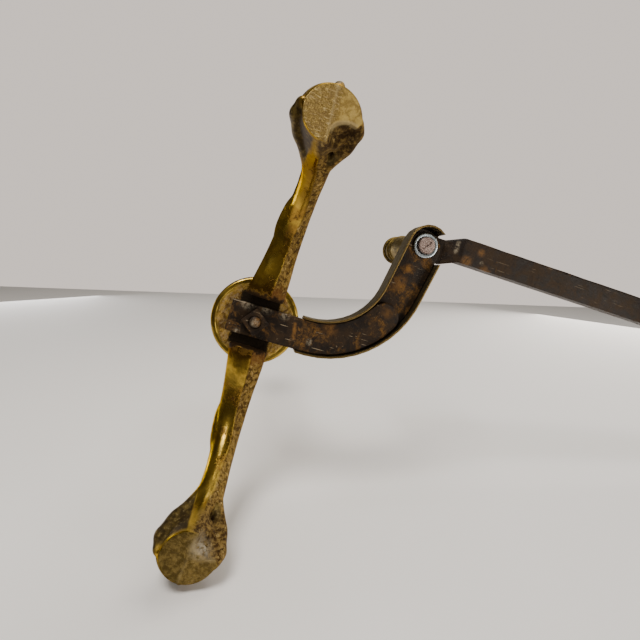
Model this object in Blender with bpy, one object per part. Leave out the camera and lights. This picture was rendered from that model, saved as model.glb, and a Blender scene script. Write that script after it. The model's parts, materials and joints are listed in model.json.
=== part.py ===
"""Brass andiron with claw-and-ball feet, an S-shaped brass-cased arm, a log stop and an iron billet bar.

The column stands on a round base disc, carried by two cabriole legs. An iron tie rod runs down through the
column and ends in a square nut under the disc, which also clamps the iron strap that carries the arm.
+Z is up, +Y runs from the column back towards the fire, and +X is the side that the arm curves to.
The origin is the centre of the object's footprint, on the hearth.
"""

import math

import bmesh
import bpy
import numpy as np
from mathutils import Matrix, Vector

MM = 0.001

# Fits
SEAT_GAP = 0.3 * MM  # between faces that touch
BORE_CLEARANCE = 0.4 * MM  # radial, round a rod or bolt
SIDE_CLEARANCE = 0.5 * MM  # between a strap and the shell's wall

# Tie rod and square nut
ROD_RADIUS = 4.75 * MM
NUT_SIDE = 16.0 * MM
NUT_HEIGHT = 8.0 * MM
NUT_TURN = math.radians(38)
ROD_STICKS_OUT = 2.6 * MM
ROD_IN_TIP = 14.0 * MM

# Base disc
DISC_UNDERSIDE = 102.0 * MM
DISC_THICKNESS = 11.0 * MM
DISC_RADIUS = 36.2 * MM
DISC_LIP = 3.6 * MM

# Legs and feet
FOOT_REACH = 146.5 * MM  # column axis to the middle of a foot
FOOT_OFFSET = 1.8 * MM  # towards the fire
RIGHT_LEG_TURN = math.radians(1.2)  # hand-fitted, a little towards the fire
BALL_RADIUS = 22.2 * MM
BALL_CENTRE_HEIGHT = 12.6 * MM
TOE_RADIUS = 4.7 * MM
ROOT_GAP = 7.6 * MM  # open slot between the strap and a leg's root
ROOT_HALF_WIDTH = 14.2 * MM
ANKLE_HALF_WIDTH = 8.6 * MM
TENON_RADIUS = 3.0 * MM
TENON_INSET = 5.0 * MM  # root's end face to the tenon's axis

# Iron straps
STRAP_THICKNESS = 4.0 * MM
HUB_STRAP_HALF_WIDTH = 13.2 * MM
HUB_STRAP_BEHIND_ROD = 22.0 * MM
HUB_STRAP_ARC_END = math.radians(70)
BOLT_STRAP_THICKNESS = 3.6 * MM
BOLT_STRAP_ARC_START = math.radians(34)
RIVET_RADIUS = 3.2 * MM
RIVET_ARC_ANGLES = (math.radians(44), math.radians(60))

# Brass-cased arm
ARM_START = 38.0 * MM  # column axis to the shell's open end
ARC_START = 44.8 * MM
ARC_RADIUS = 68.5 * MM
ARC_ANGLE = math.radians(80)
ARM_RUN = 47.0 * MM  # straight stretch, from the arc to the bolt
ARM_FLARE = 1.8 * MM  # growth of the half width, from the open end to the bolt
SHELL_WALL = 1.7 * MM
SHELL_ROOF = 2.0 * MM
STRAP_RECESS = 4.7 * MM  # shell's rim to the hub strap's underside

# Billet bar
TONGUE_THICKNESS = 4.2 * MM
TONGUE_HALF_WIDTH = 11.0 * MM
TONGUE_PLAY = 1.6 * MM  # each side, in the shell's notch
TONGUE_LENGTH = 17.5 * MM
TONGUE_TAPER = 13.0 * MM
BAR_HALF_WIDTH = 10.8 * MM
BAR_DEPTH = 16.5 * MM
BAR_JOG = 5.4 * MM
BAR_LENGTH = 305.0 * MM  # bolt to the rear leg's back
BEND_RADIUS = 24.0 * MM
REAR_FOOT_HALF_WIDTH = 17.0 * MM
REAR_FOOT_HALF_LENGTH = 15.0 * MM
REAR_FOOT_THICKNESS = 7.0 * MM

# Bolt, washer and log stop
BOLT_RADIUS = 4.7 * MM
BOLT_HEAD_RADIUS = 7.3 * MM
BOLT_HEAD_HEIGHT = 3.2 * MM
SLOT_WIDTH = 1.5 * MM
SLOT_DEPTH = 1.0 * MM
SLOT_LENGTH = 9.0 * MM
SLOT_TURN = math.radians(38)
WASHER_RADIUS = 10.7 * MM
WASHER_THICKNESS = 1.8 * MM
STOP_BASE_HEIGHT = 9.0 * MM
STOP_POST_HEIGHT = 66.0 * MM
STOP_CAP_HEIGHT = 13.0 * MM
STOP_RADIUS = 13.6 * MM
STOP_WAIST = 9.4 * MM
BOLT_IN_POST = 24.0 * MM

# Column, from the disc up
COLLAR_HEIGHT = 11.0 * MM
COLLAR_RADIUS = 30.0 * MM
VASE_HEIGHT = 52.0 * MM
VASE_RADIUS = 24.0 * MM
SHAFT_HEIGHT = 118.0 * MM
SHAFT_FOOT_RADIUS = 13.0 * MM
SHAFT_HEAD_RADIUS = 10.5 * MM
CAPITAL_HEIGHT = 14.0 * MM
CAPITAL_RADIUS = 18.0 * MM
BALL_FINIAL_RADIUS = 27.0 * MM
BALL_FINIAL_HEIGHT = 50.0 * MM
TIP_HEIGHT = 37.0 * MM
TIP_RADIUS = 11.0 * MM

ROUND_SEGMENTS = 28
SMALL_SEGMENTS = 16

# Levels and places that follow from the values above
ROD_BORE = ROD_RADIUS + BORE_CLEARANCE
BOLT_BORE = BOLT_RADIUS + BORE_CLEARANCE
ARM_HALF_WIDTH_START = HUB_STRAP_HALF_WIDTH + SIDE_CLEARANCE + SHELL_WALL
ARM_HALF_WIDTH_END = ARM_HALF_WIDTH_START + ARM_FLARE
STRAP_TOP = DISC_UNDERSIDE - SEAT_GAP
STRAP_BOTTOM = STRAP_TOP - STRAP_THICKNESS
NUT_TOP = STRAP_BOTTOM - SEAT_GAP
ROD_BOTTOM = NUT_TOP - NUT_HEIGHT - ROD_STICKS_OUT
SHELL_RIM = STRAP_BOTTOM - STRAP_RECESS
BOLT_STRAP_BOTTOM = STRAP_TOP + SEAT_GAP
BOLT_STRAP_TOP = BOLT_STRAP_BOTTOM + BOLT_STRAP_THICKNESS
TONGUE_BOTTOM = BOLT_STRAP_TOP + SEAT_GAP
TONGUE_TOP = TONGUE_BOTTOM + TONGUE_THICKNESS
ROOF_UNDERSIDE = TONGUE_TOP + SEAT_GAP
ROOF_TOP = ROOF_UNDERSIDE + SHELL_ROOF
BAR_BOTTOM = ROOF_TOP - BAR_DEPTH
ARC_CENTRE = Vector((ARC_RADIUS, ARC_START))
ROOT_END = HUB_STRAP_HALF_WIDTH + ROOT_GAP


def material(name, colour, roughness, metallic):
    mat = bpy.data.materials.new(name)
    mat.use_nodes = True
    shader = mat.node_tree.nodes["Principled BSDF"]
    shader.inputs["Base Color"].default_value = (*colour, 1.0)
    shader.inputs["Roughness"].default_value = roughness
    shader.inputs["Metallic"].default_value = metallic
    return mat


def clear_scene():
    for obj in list(bpy.data.objects):
        bpy.data.objects.remove(obj)


def new_object(name, bm, mat=None):
    """One object from a bmesh, with its normals facing out."""
    bmesh.ops.recalc_face_normals(bm, faces=bm.faces)
    mesh = bpy.data.meshes.new(name)
    bm.to_mesh(mesh)
    bm.free()
    obj = bpy.data.objects.new(name, mesh)
    bpy.context.scene.collection.objects.link(obj)
    if mat:
        mesh.materials.append(mat)
        mesh.shade_smooth()
        mesh.set_sharp_from_angle(angle=math.radians(35))
    return obj


def as_helper(obj):
    """Marks a cutter, or a shape that is joined into another, so that it isn't a part itself."""
    obj.hide_render = True
    obj.display_type = "WIRE"
    return obj


def boolean(obj, other, operation):
    mod = obj.modifiers.new(operation.lower(), "BOOLEAN")
    mod.operation = operation
    mod.solver = "EXACT"
    mod.object = as_helper(other)


def prism(name, outline, low, high, mat=None):
    """A flat outline of 2-D points, extruded from one height to another."""
    bm = bmesh.new()
    face = bm.faces.new([bm.verts.new((p[0], p[1], low)) for p in outline])
    made = bmesh.ops.extrude_face_region(bm, geom=[face])
    moved = [v for v in made["geom"] if isinstance(v, bmesh.types.BMVert)]
    bmesh.ops.translate(bm, verts=moved, vec=(0, 0, high - low))
    return new_object(name, bm, mat)


def circle(centre, radius, segments=SMALL_SEGMENTS, turn=0.0):
    angles = [turn + math.tau * i / segments for i in range(segments)]
    return [(centre[0] + radius * math.cos(a), centre[1] + radius * math.sin(a)) for a in angles]


def cylinder(name, centre, radius, low, high, segments=SMALL_SEGMENTS):
    return prism(name, circle(centre, radius, segments, math.pi / segments), low, high)


def turned(name, profile, base, mat, bore=0.0, centre=(0, 0), segments=ROUND_SEGMENTS):
    """A turned piece. The profile is (radius, height) pairs from the bottom up, measured from the base.
    With a bore the hole runs right through. Without one the profile's ends close on the axis."""
    points = [(r, base + h) for r, h in profile]
    if bore:
        points = [(bore, points[0][1])] + points + [(bore, points[-1][1])]
    bm = bmesh.new()
    rings = []
    for r, h in points:
        if r < 1e-7:
            rings.append([bm.verts.new((centre[0], centre[1], h))] * segments)
        else:
            rings.append([bm.verts.new((x, y, h)) for x, y in circle(centre, r, segments)])
    pairs = list(zip(rings, rings[1:]))
    if bore:
        pairs.append((rings[-1], rings[0]))
    for low, high in pairs:
        for i in range(segments):
            j = (i + 1) % segments
            corners = list(dict.fromkeys((low[i], low[j], high[j], high[i])))
            if len(corners) > 2:
                bm.faces.new(corners)
    return new_object(name, bm, mat)


def loft(name, sections, mat=None):
    """A solid through closed sections with equal numbers of points, capped at both ends."""
    bm = bmesh.new()
    rings = [[bm.verts.new(p) for p in section] for section in sections]
    for low, high in zip(rings, rings[1:]):
        for i in range(len(low)):
            j = (i + 1) % len(low)
            bm.faces.new((low[i], low[j], high[j], high[i]))
    bm.faces.new(rings[0])
    bm.faces.new(rings[-1])
    return new_object(name, bm, mat)


def smooth_table(rows, steps):
    """Catmull-Rom through the rows of a table, with this many steps between each pair of rows."""
    rows = [np.array(r, float) for r in rows]
    padded = [2 * rows[0] - rows[1], *rows, 2 * rows[-1] - rows[-2]]
    out = []
    for a, b, c, d in zip(padded, padded[1:], padded[2:], padded[3:]):
        for i in range(steps):
            t = i / steps
            out.append(0.5 * (2 * b + (c - a) * t + (2 * a - 5 * b + 4 * c - d) * t**2
                              + (3 * b - a - 3 * c + d) * t**3))
    out.append(rows[-1])
    return out


# ---------------------------------------------------------------- arm

def arm_point(distance, side):
    """A point beside the arm's centreline, this far along it from the column axis and this far to the
    fire side. The line runs back, round the arc, and straight on to the bolt."""
    arc_length = ARC_RADIUS * ARC_ANGLE
    if distance <= ARC_START:
        return Vector((-side, distance))
    angle = min((distance - ARC_START) / ARC_RADIUS, ARC_ANGLE)
    outward = Vector((-math.cos(angle), math.sin(angle)))
    onward = Vector((math.sin(angle), math.cos(angle)))
    past = max(distance - ARC_START - arc_length, 0.0)
    return ARC_CENTRE + outward * (ARC_RADIUS + side) + onward * past


ARM_LENGTH = ARC_START + ARC_RADIUS * ARC_ANGLE + ARM_RUN
BOLT_AXIS = arm_point(ARM_LENGTH, 0.0)
END_DIRECTION = Vector((math.sin(ARC_ANGLE), math.cos(ARC_ANGLE)))


def arm_half_width(distance):
    share = min(max((distance - ARM_START) / (ARM_LENGTH - ARM_START), 0.0), 1.0)
    return ARM_HALF_WIDTH_START + share * ARM_FLARE


def arm_stations(start, end, spacing=9.0 * MM):
    count = max(2, round((end - start) / spacing) + 1)
    return [float(d) for d in np.linspace(start, end, count)]


def arm_outline(start, end, half_width, round_end):
    """A band along the arm. half_width gives its half width at a distance along the line."""
    stations = arm_stations(start, end)
    outer = [arm_point(d, half_width(d)) for d in stations]
    inner = [arm_point(d, -half_width(d)) for d in reversed(stations)]
    tip = []
    if round_end:
        centre = arm_point(end, 0.0)
        ahead = (arm_point(end, 0.0) - arm_point(end - 1 * MM, 0.0)).normalized()
        across = (outer[-1] - centre).normalized()
        radius = half_width(end)
        for i in range(1, 9):
            a = math.pi * i / 9
            tip.append(centre + radius * (across * math.cos(a) + ahead * math.sin(a)))
    return outer + tip + inner


def arm_shell(brass):
    body = prism("arm_shell", arm_outline(ARM_START, ARM_LENGTH, arm_half_width, True),
                 SHELL_RIM, ROOF_TOP, brass)
    hollow = arm_outline(ARM_START - 10 * MM, ARM_LENGTH, lambda d: arm_half_width(d) - SHELL_WALL, True)
    boolean(body, prism("shell_hollow", hollow, SHELL_RIM - 5 * MM, ROOF_UNDERSIDE), "DIFFERENCE")
    half = TONGUE_HALF_WIDTH + TONGUE_PLAY
    reach = ARM_HALF_WIDTH_END + 10 * MM
    notch = [(BOLT_AXIS.x - half, BOLT_AXIS.y), (BOLT_AXIS.x + half, BOLT_AXIS.y),
             (BOLT_AXIS.x + half, BOLT_AXIS.y + reach), (BOLT_AXIS.x - half, BOLT_AXIS.y + reach)]
    boolean(body, prism("shell_notch", notch, SHELL_RIM - 5 * MM, ROOF_UNDERSIDE), "DIFFERENCE")
    hole = cylinder("shell_bolt_hole", BOLT_AXIS, BOLT_BORE, ROOF_UNDERSIDE - 5 * MM, ROOF_TOP + 5 * MM)
    boolean(body, hole, "DIFFERENCE")
    return body


def rivet_places():
    return [arm_point(ARC_START + ARC_RADIUS * angle, 0.0) for angle in RIVET_ARC_ANGLES]


def hub_strap(iron):
    """Iron strap from behind the tie rod, along the arm, to its rounded end inside the shell."""
    end = ARC_START + ARC_RADIUS * HUB_STRAP_ARC_END - HUB_STRAP_HALF_WIDTH
    outline = arm_outline(-HUB_STRAP_BEHIND_ROD, end, lambda d: HUB_STRAP_HALF_WIDTH, True)
    strap = prism("hub_strap", outline, STRAP_BOTTOM, STRAP_TOP, iron)
    low, high = STRAP_BOTTOM - 5 * MM, STRAP_TOP + 5 * MM
    boolean(strap, cylinder("hub_strap_rod_hole", (0, 0), ROD_BORE, low, high), "DIFFERENCE")
    for i, place in enumerate(rivet_places()):
        boolean(strap, cylinder(f"hub_strap_rivet_hole_{i}", place, RIVET_RADIUS + SEAT_GAP, low, high),
                "DIFFERENCE")
    return strap


def bolt_strap(iron):
    """Iron strap above the hub strap, which carries the arm on to the bolt."""
    start = ARC_START + ARC_RADIUS * BOLT_STRAP_ARC_START
    outline = arm_outline(start, ARM_LENGTH - 3 * MM,
                          lambda d: arm_half_width(d) - SHELL_WALL - SIDE_CLEARANCE, True)
    strap = prism("bolt_strap", outline, BOLT_STRAP_BOTTOM, BOLT_STRAP_TOP, iron)
    low, high = BOLT_STRAP_BOTTOM - 5 * MM, BOLT_STRAP_TOP + 5 * MM
    boolean(strap, cylinder("bolt_strap_hole", BOLT_AXIS, BOLT_BORE, low, high), "DIFFERENCE")
    for i, place in enumerate(rivet_places()):
        boolean(strap, cylinder(f"bolt_strap_rivet_hole_{i}", place, RIVET_RADIUS + SEAT_GAP, low, high),
                "DIFFERENCE")
    return strap


def strap_rivets(iron):
    """Flush rivets that join the two straps, headed over above the upper one."""
    head = 1.4 * MM
    for name, place in zip(("strap_rivet_front", "strap_rivet_rear"), rivet_places()):
        shank = BOLT_STRAP_TOP + SEAT_GAP - STRAP_BOTTOM
        profile = [(0, 0), (RIVET_RADIUS, 0), (RIVET_RADIUS, shank), (1.7 * RIVET_RADIUS, shank),
                   (1.4 * RIVET_RADIUS, shank + head), (0, shank + head)]
        turned(name, profile, STRAP_BOTTOM, iron, centre=place, segments=SMALL_SEGMENTS)


# ---------------------------------------------------------------- billet bar

def box_section(y, centre_x, half_width, low, high):
    return [(centre_x - half_width, y, low), (centre_x + half_width, y, low),
            (centre_x + half_width, y, high), (centre_x - half_width, y, high)]


def bar_sections():
    """Four-cornered sections from the bolt back along the bar, round the bend and down to the rear foot."""
    x, y = BOLT_AXIS
    bar_x = x + BAR_JOG
    back = y + BAR_LENGTH
    sections = [
        box_section(y, x, TONGUE_HALF_WIDTH, TONGUE_BOTTOM, TONGUE_TOP),
        box_section(y + TONGUE_LENGTH, x, TONGUE_HALF_WIDTH, TONGUE_BOTTOM, TONGUE_TOP),
        box_section(y + TONGUE_LENGTH + TONGUE_TAPER, bar_x, BAR_HALF_WIDTH, BAR_BOTTOM, ROOF_TOP),
    ]
    bend_centre = Vector((back - BEND_RADIUS, ROOF_TOP - BEND_RADIUS))
    for i in range(5):
        angle = math.radians(90) * i / 4
        out = Vector((math.sin(angle), math.cos(angle)))
        far = bend_centre + out * BEND_RADIUS
        near = bend_centre + out * (BEND_RADIUS - BAR_DEPTH)
        sections.append([(bar_x - BAR_HALF_WIDTH, near.x, near.y), (bar_x + BAR_HALF_WIDTH, near.x, near.y),
                         (bar_x + BAR_HALF_WIDTH, far.x, far.y), (bar_x - BAR_HALF_WIDTH, far.x, far.y)])
    middle = back - BAR_DEPTH / 2
    for z, half_x, half_y in (
        (4 * REAR_FOOT_THICKNESS, BAR_HALF_WIDTH, BAR_DEPTH / 2),
        (REAR_FOOT_THICKNESS, REAR_FOOT_HALF_WIDTH, REAR_FOOT_HALF_LENGTH),
        (0.0, REAR_FOOT_HALF_WIDTH, REAR_FOOT_HALF_LENGTH),
    ):
        sections.append([(bar_x + i * half_x, middle + j * half_y, z)
                         for i, j in ((-1, -1), (1, -1), (1, 1), (-1, 1))])
    return sections


def billet_bar(iron):
    bar = loft("billet_bar", bar_sections(), iron)
    boolean(bar, cylinder("tongue_end", BOLT_AXIS, TONGUE_HALF_WIDTH, TONGUE_BOTTOM, TONGUE_TOP, 24), "UNION")
    boolean(bar, cylinder("tongue_hole", BOLT_AXIS, BOLT_BORE, TONGUE_BOTTOM - 5 * MM, TONGUE_TOP + 5 * MM),
            "DIFFERENCE")
    return bar


# ---------------------------------------------------------------- legs

def leg_rows():
    """(x, y, z, half width, half thickness) along a leg, from its root to the top of the ball."""
    reach = FOOT_REACH - ROOT_END
    fall = DISC_UNDERSIDE - BALL_CENTRE_HEIGHT
    root, ankle = ROOT_HALF_WIDTH, ANKLE_HALF_WIDTH
    knee = 0.76 * root
    shares = [
        (0.000, 0.00, 0.101, root, 9.5),
        (0.137, 0.33, 0.095, 0.94 * root, 9.0),
        (0.292, 0.90, 0.078, 0.88 * root, 8.6),
        (0.451, 1.20, 0.101, 0.83 * root, 9.0),
        (0.594, 1.55, 0.201, knee, 9.6),
        (0.698, 1.90, 0.358, 0.5 * (knee + ankle), 9.2),
        (0.769, 1.80, 0.515, ankle, 8.2),
        (0.833, 1.45, 0.649, 1.08 * ankle, 7.8),
        (0.905, 1.10, 0.749, 1.55 * ankle, 9.5),
        (0.968, 1.00, 0.839, 1.9 * ankle, 12.5),
    ]
    top = DISC_UNDERSIDE
    return [(ROOT_END + x * reach, y * FOOT_OFFSET, top - z * fall, width, thick * MM)
            for x, y, z, width, thick in shares]


# A leg's section, as shares of its half width towards the fire and of its half thickness towards the outside.
# The front is rounded and polished, the back is one flat rough face that meets the front in a ridge below.
LEG_SECTION = [(0.42, -1.0), (0.98, 0.0), (0.95, 0.5), (0.55, 0.92), (0.0, 1.0), (-0.60, 0.92), (-1.0, 0.62),
               (-1.08, 0.2), (-0.88, -0.4), (-0.45, -0.85)]


def leg_sections():
    rows = smooth_table(leg_rows(), 2)
    sections = []
    for i, (x, y, z, width, thick) in enumerate(rows):
        before, after = rows[max(i - 1, 0)], rows[min(i + 1, len(rows) - 1)]
        along = Vector((after[0] - before[0], 0, after[2] - before[2])).normalized()
        if i == 0:
            along = Vector((1, 0, 0))
        out = Vector((-along.z, 0, along.x))
        centre = Vector((x, y, z))
        sections.append([centre + out * (thick * v) + Vector((0, width * u, 0)) for u, v in LEG_SECTION])
    return sections


def toe_sections(heading, reach):
    """One toe, which comes down over the ball from the ankle and ends in a claw by the floor."""
    centre = Vector((FOOT_REACH, FOOT_OFFSET, BALL_CENTRE_HEIGHT))
    out = Vector((math.cos(heading), math.sin(heading), 0))
    across = Vector((-out.y, out.x, 0))
    up = Vector((0, 0, 1))
    sections = []
    for down, share, lift in ((22, 1.0, -1.0), (42, 0.92, 0.2), (58, 1.12, 0.6), (74, 0.86, 0.0),
                              (88, 1.05, 0.4), (102, 0.72, -0.2), (116, 0.42, -0.9)):
        a = math.radians(down)
        away = out * math.sin(a) + up * math.cos(a)
        radius = TOE_RADIUS * share
        spot = centre + away * (BALL_RADIUS + reach + lift * MM)
        sections.append([spot + radius * (across * math.cos(t) + away * math.sin(t))
                         for t in (math.tau * k / 8 for k in range(8))])
    return sections


def ball(name):
    bm = bmesh.new()
    bmesh.ops.create_uvsphere(bm, u_segments=20, v_segments=12, radius=BALL_RADIUS)
    bmesh.ops.translate(bm, verts=bm.verts, vec=(FOOT_REACH, FOOT_OFFSET, BALL_CENTRE_HEIGHT))
    return new_object(name, bm)


def make_leg(name, brass, side, turn):
    """One casting: the cabriole leg, its ball and claws, and the tenon that is peened over in the disc.
    The left leg, with a side of -1, is the right one's mirror image. The turn is about the column."""
    leg = loft(name, leg_sections())
    boolean(leg, ball("ball"), "UNION")
    for toe, degrees, reach in (("outer_toe", 0, -0.8), ("front_toe", -98, 0.8), ("back_toe", 98, -2.0)):
        boolean(leg, loft(toe, toe_sections(math.radians(degrees), reach * MM)), "UNION")
    reach = BALL_RADIUS + 20 * MM
    under = [(FOOT_REACH - reach, -reach), (FOOT_REACH + reach, -reach),
             (FOOT_REACH + reach, reach), (FOOT_REACH - reach, reach)]
    boolean(leg, prism("floor_cut", under, -BALL_RADIUS - 5 * MM, 0.0), "DIFFERENCE")
    boolean(leg, cylinder("disc_seat", (0, 0), DISC_RADIUS + SEAT_GAP, STRAP_TOP, STRAP_TOP + 40 * MM, 40),
            "DIFFERENCE")
    boolean(leg, cylinder("tenon", (ROOT_END + TENON_INSET, 0), TENON_RADIUS, STRAP_TOP - 5 * MM,
                          DISC_UNDERSIDE + DISC_THICKNESS), "UNION")
    bpy.context.view_layer.update()
    graph = bpy.context.evaluated_depsgraph_get()
    mesh = bpy.data.meshes.new_from_object(leg.evaluated_get(graph))
    for helper in [m.object for m in leg.modifiers] + [leg]:
        bpy.data.objects.remove(helper)
    if side < 0:
        mesh.transform(Matrix.Scale(-1, 4, Vector((1, 0, 0))))
        mesh.flip_normals()
    mesh.transform(Matrix.Rotation(turn, 4, "Z"))
    mesh.materials.clear()
    mesh.materials.append(brass)
    mesh.shade_smooth()
    mesh.set_sharp_from_angle(angle=math.radians(35))
    bpy.context.scene.collection.objects.link(bpy.data.objects.new(name, mesh))


# ---------------------------------------------------------------- disc, column and rod

def base_disc(brass):
    r, t = DISC_RADIUS, DISC_THICKNESS
    lip = DISC_LIP
    profile = [(r - lip, 0), (r - 0.7 * lip, 0), (r - 0.3 * lip, 0.06 * t), (r, 0.22 * t), (r, 0.40 * t),
               (r - 0.55 * lip, 0.58 * t), (r - 0.9 * lip, 0.66 * t), (r - 0.9 * lip, 0.80 * t),
               (r - 1.4 * lip, t)]
    disc = turned("base_disc", profile, DISC_UNDERSIDE, brass, bore=ROD_BORE, segments=40)
    for i, (x, turn) in enumerate(((-1, 0.0), (1, RIGHT_LEG_TURN))):
        place = Matrix.Rotation(turn, 2) @ Vector((x * (ROOT_END + TENON_INSET), 0))
        boolean(disc, cylinder(f"tenon_hole_{i}", place, TENON_RADIUS + SEAT_GAP, DISC_UNDERSIDE - 5 * MM,
                               DISC_UNDERSIDE + DISC_THICKNESS + 5 * MM), "DIFFERENCE")
    return disc


def round_shares(radius, height, low, high, count, fullness=1.0):
    """Points of a bulged side, from one share of the height to another."""
    points = []
    for i in range(count + 1):
        share = low + (high - low) * i / count
        points.append((radius * math.sqrt(max(0.0, 1 - fullness * (2 * share - 1) ** 2)), share * height))
    return points


def column(brass):
    """The turned pieces that the tie rod strings together. Returns the height of the finial tip's seat."""
    level = DISC_UNDERSIDE + DISC_THICKNESS + SEAT_GAP
    h, r = COLLAR_HEIGHT, COLLAR_RADIUS
    turned("column_collar", [(r, 0), (r, 0.15 * h), (0.97 * r, 0.35 * h), (0.80 * r, 0.55 * h),
                             (0.72 * r, 0.72 * h), (0.70 * r, h)], level, brass, bore=ROD_BORE)
    level += h + SEAT_GAP
    h, r = VASE_HEIGHT, VASE_RADIUS
    turned("column_vase", [(0.62 * r, 0), (0.66 * r, 0.05 * h), (0.50 * r, 0.10 * h), (0.56 * r, 0.17 * h),
                           (0.86 * r, 0.30 * h), (r, 0.45 * h), (0.96 * r, 0.58 * h), (0.76 * r, 0.72 * h),
                           (0.52 * r, 0.84 * h), (0.46 * r, 0.90 * h), (0.62 * r, 0.94 * h), (0.62 * r, h)],
           level, brass, bore=ROD_BORE)
    level += h + SEAT_GAP
    h = SHAFT_HEIGHT
    foot, head = SHAFT_FOOT_RADIUS, SHAFT_HEAD_RADIUS
    turned("column_shaft", [(1.16 * foot, 0), (1.16 * foot, 0.03 * h), (foot, 0.06 * h), (foot, 0.10 * h),
                            (0.5 * (foot + head) + 0.3 * MM, 0.5 * h), (head, 0.90 * h), (1.15 * head, 0.93 * h),
                            (1.15 * head, 0.96 * h), (head, h)], level, brass, bore=ROD_BORE, segments=24)
    level += h + SEAT_GAP
    h, r = CAPITAL_HEIGHT, CAPITAL_RADIUS
    turned("column_capital", [(0.66 * r, 0), (0.74 * r, 0.2 * h), (0.95 * r, 0.4 * h), (r, 0.55 * h),
                              (0.93 * r, 0.75 * h), (0.6 * r, 0.85 * h), (0.6 * r, h)],
           level, brass, bore=ROD_BORE)
    level += h + SEAT_GAP
    turned("finial_ball", round_shares(BALL_FINIAL_RADIUS, BALL_FINIAL_HEIGHT, 0.06, 0.94, 10),
           level - 0.06 * BALL_FINIAL_HEIGHT, brass, bore=ROD_BORE)
    level += 0.88 * BALL_FINIAL_HEIGHT + SEAT_GAP
    finial_tip(brass, level)
    return level


def finial_tip(brass, level):
    """The topmost piece, which screws down on the tie rod."""
    h, r = TIP_HEIGHT, TIP_RADIUS
    tip = turned("finial_tip", [(0, 0), (0.95 * r, 0), (r, 0.10 * h), (0.55 * r, 0.18 * h), (0.60 * r, 0.26 * h),
                                (0.92 * r, 0.40 * h), (r, 0.55 * h), (0.80 * r, 0.72 * h), (0.38 * r, 0.86 * h),
                                (0.20 * r, 0.94 * h), (0, h)], level, brass, segments=24)
    boolean(tip, cylinder("tip_bore", (0, 0), ROD_BORE, level - 5 * MM, level + ROD_IN_TIP + SEAT_GAP),
            "DIFFERENCE")


def tie_rod(iron, tip_seat):
    r = ROD_RADIUS
    length = tip_seat + ROD_IN_TIP - ROD_BOTTOM
    bevel = 0.8 * MM
    turned("tie_rod", [(0, 0), (r - bevel, 0), (r, bevel), (r, length - bevel), (r - bevel, length), (0, length)],
           ROD_BOTTOM, iron, segments=SMALL_SEGMENTS)


def square_nut(iron):
    corner = NUT_SIDE / math.sqrt(2)
    outline = circle((0, 0), corner, 4, NUT_TURN + math.radians(45))
    nut = prism("square_nut", outline, NUT_TOP - NUT_HEIGHT, NUT_TOP, iron)
    boolean(nut, cylinder("nut_bore", (0, 0), ROD_BORE, NUT_TOP - NUT_HEIGHT - 5 * MM, NUT_TOP + 5 * MM),
            "DIFFERENCE")


# ---------------------------------------------------------------- bolt and log stop

def log_stop_bolt(steel, zinc):
    washer_top = BOLT_STRAP_BOTTOM - SEAT_GAP
    r, t = WASHER_RADIUS, WASHER_THICKNESS
    turned("log_stop_washer", [(0.94 * r, 0), (r, 0.35 * t), (r, t)], washer_top - t, zinc, bore=BOLT_BORE,
           centre=BOLT_AXIS)
    head_top = washer_top - t - SEAT_GAP
    h, r = BOLT_HEAD_HEIGHT, BOLT_HEAD_RADIUS
    length = ROOF_TOP + BOLT_IN_POST - head_top
    bolt = turned("log_stop_bolt", [(0, 0), (0.88 * r, 0), (r, 0.3 * h), (r, h), (BOLT_RADIUS, h),
                                    (BOLT_RADIUS, h + length), (0, h + length)], head_top - h, steel,
                  centre=BOLT_AXIS, segments=24)
    along = Vector((math.cos(SLOT_TURN), math.sin(SLOT_TURN))) * SLOT_LENGTH / 2
    across = Vector((-along.y, along.x)).normalized() * SLOT_WIDTH / 2
    outline = [BOLT_AXIS + s * along + t * across for s, t in ((-1, -1), (1, -1), (1, 1), (-1, 1))]
    bottom = head_top - h
    boolean(bolt, prism("bolt_slot", outline, bottom - 5 * MM, bottom + SLOT_DEPTH), "DIFFERENCE")


def log_stop(brass):
    level = ROOF_TOP + SEAT_GAP
    h, r = STOP_BASE_HEIGHT, STOP_RADIUS
    turned("log_stop_base", [(r, 0), (r, 0.25 * h), (0.9 * r, 0.5 * h), (0.68 * r, 0.75 * h), (0.68 * r, h)],
           level, brass, bore=BOLT_BORE, centre=BOLT_AXIS)
    level += h + SEAT_GAP
    h, waist = STOP_POST_HEIGHT, STOP_WAIST
    post = turned("log_stop_post", [(0, 0), (waist, 0), (waist, 0.08 * h), (0.86 * waist, 0.14 * h),
                                    (0.95 * waist, 0.3 * h), (0.87 * r, 0.52 * h), (0.94 * r, 0.62 * h),
                                    (0.94 * r, h), (0, h)], level, brass, centre=BOLT_AXIS)
    bore_top = ROOF_TOP + BOLT_IN_POST + SEAT_GAP
    boolean(post, cylinder("post_bore", BOLT_AXIS, BOLT_BORE, level - 5 * MM, bore_top), "DIFFERENCE")
    peg = 4 * MM
    boolean(post, cylinder("cap_socket", BOLT_AXIS, peg + SEAT_GAP, level + h - 6 * MM, level + h + 5 * MM),
            "DIFFERENCE")
    level += h + SEAT_GAP
    h = STOP_CAP_HEIGHT
    turned("log_stop_cap", [(0, -5 * MM), (peg, -5 * MM), (peg, 0), (0.94 * r, 0), (r, 0.10 * h), (r, 0.28 * h),
                            (0.92 * r, 0.40 * h), (0.80 * r, 0.62 * h), (0.55 * r, 0.84 * h), (0.25 * r, 0.96 * h),
                            (0, h)], level, brass, centre=BOLT_AXIS)


# ---------------------------------------------------------------- assembly

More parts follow.
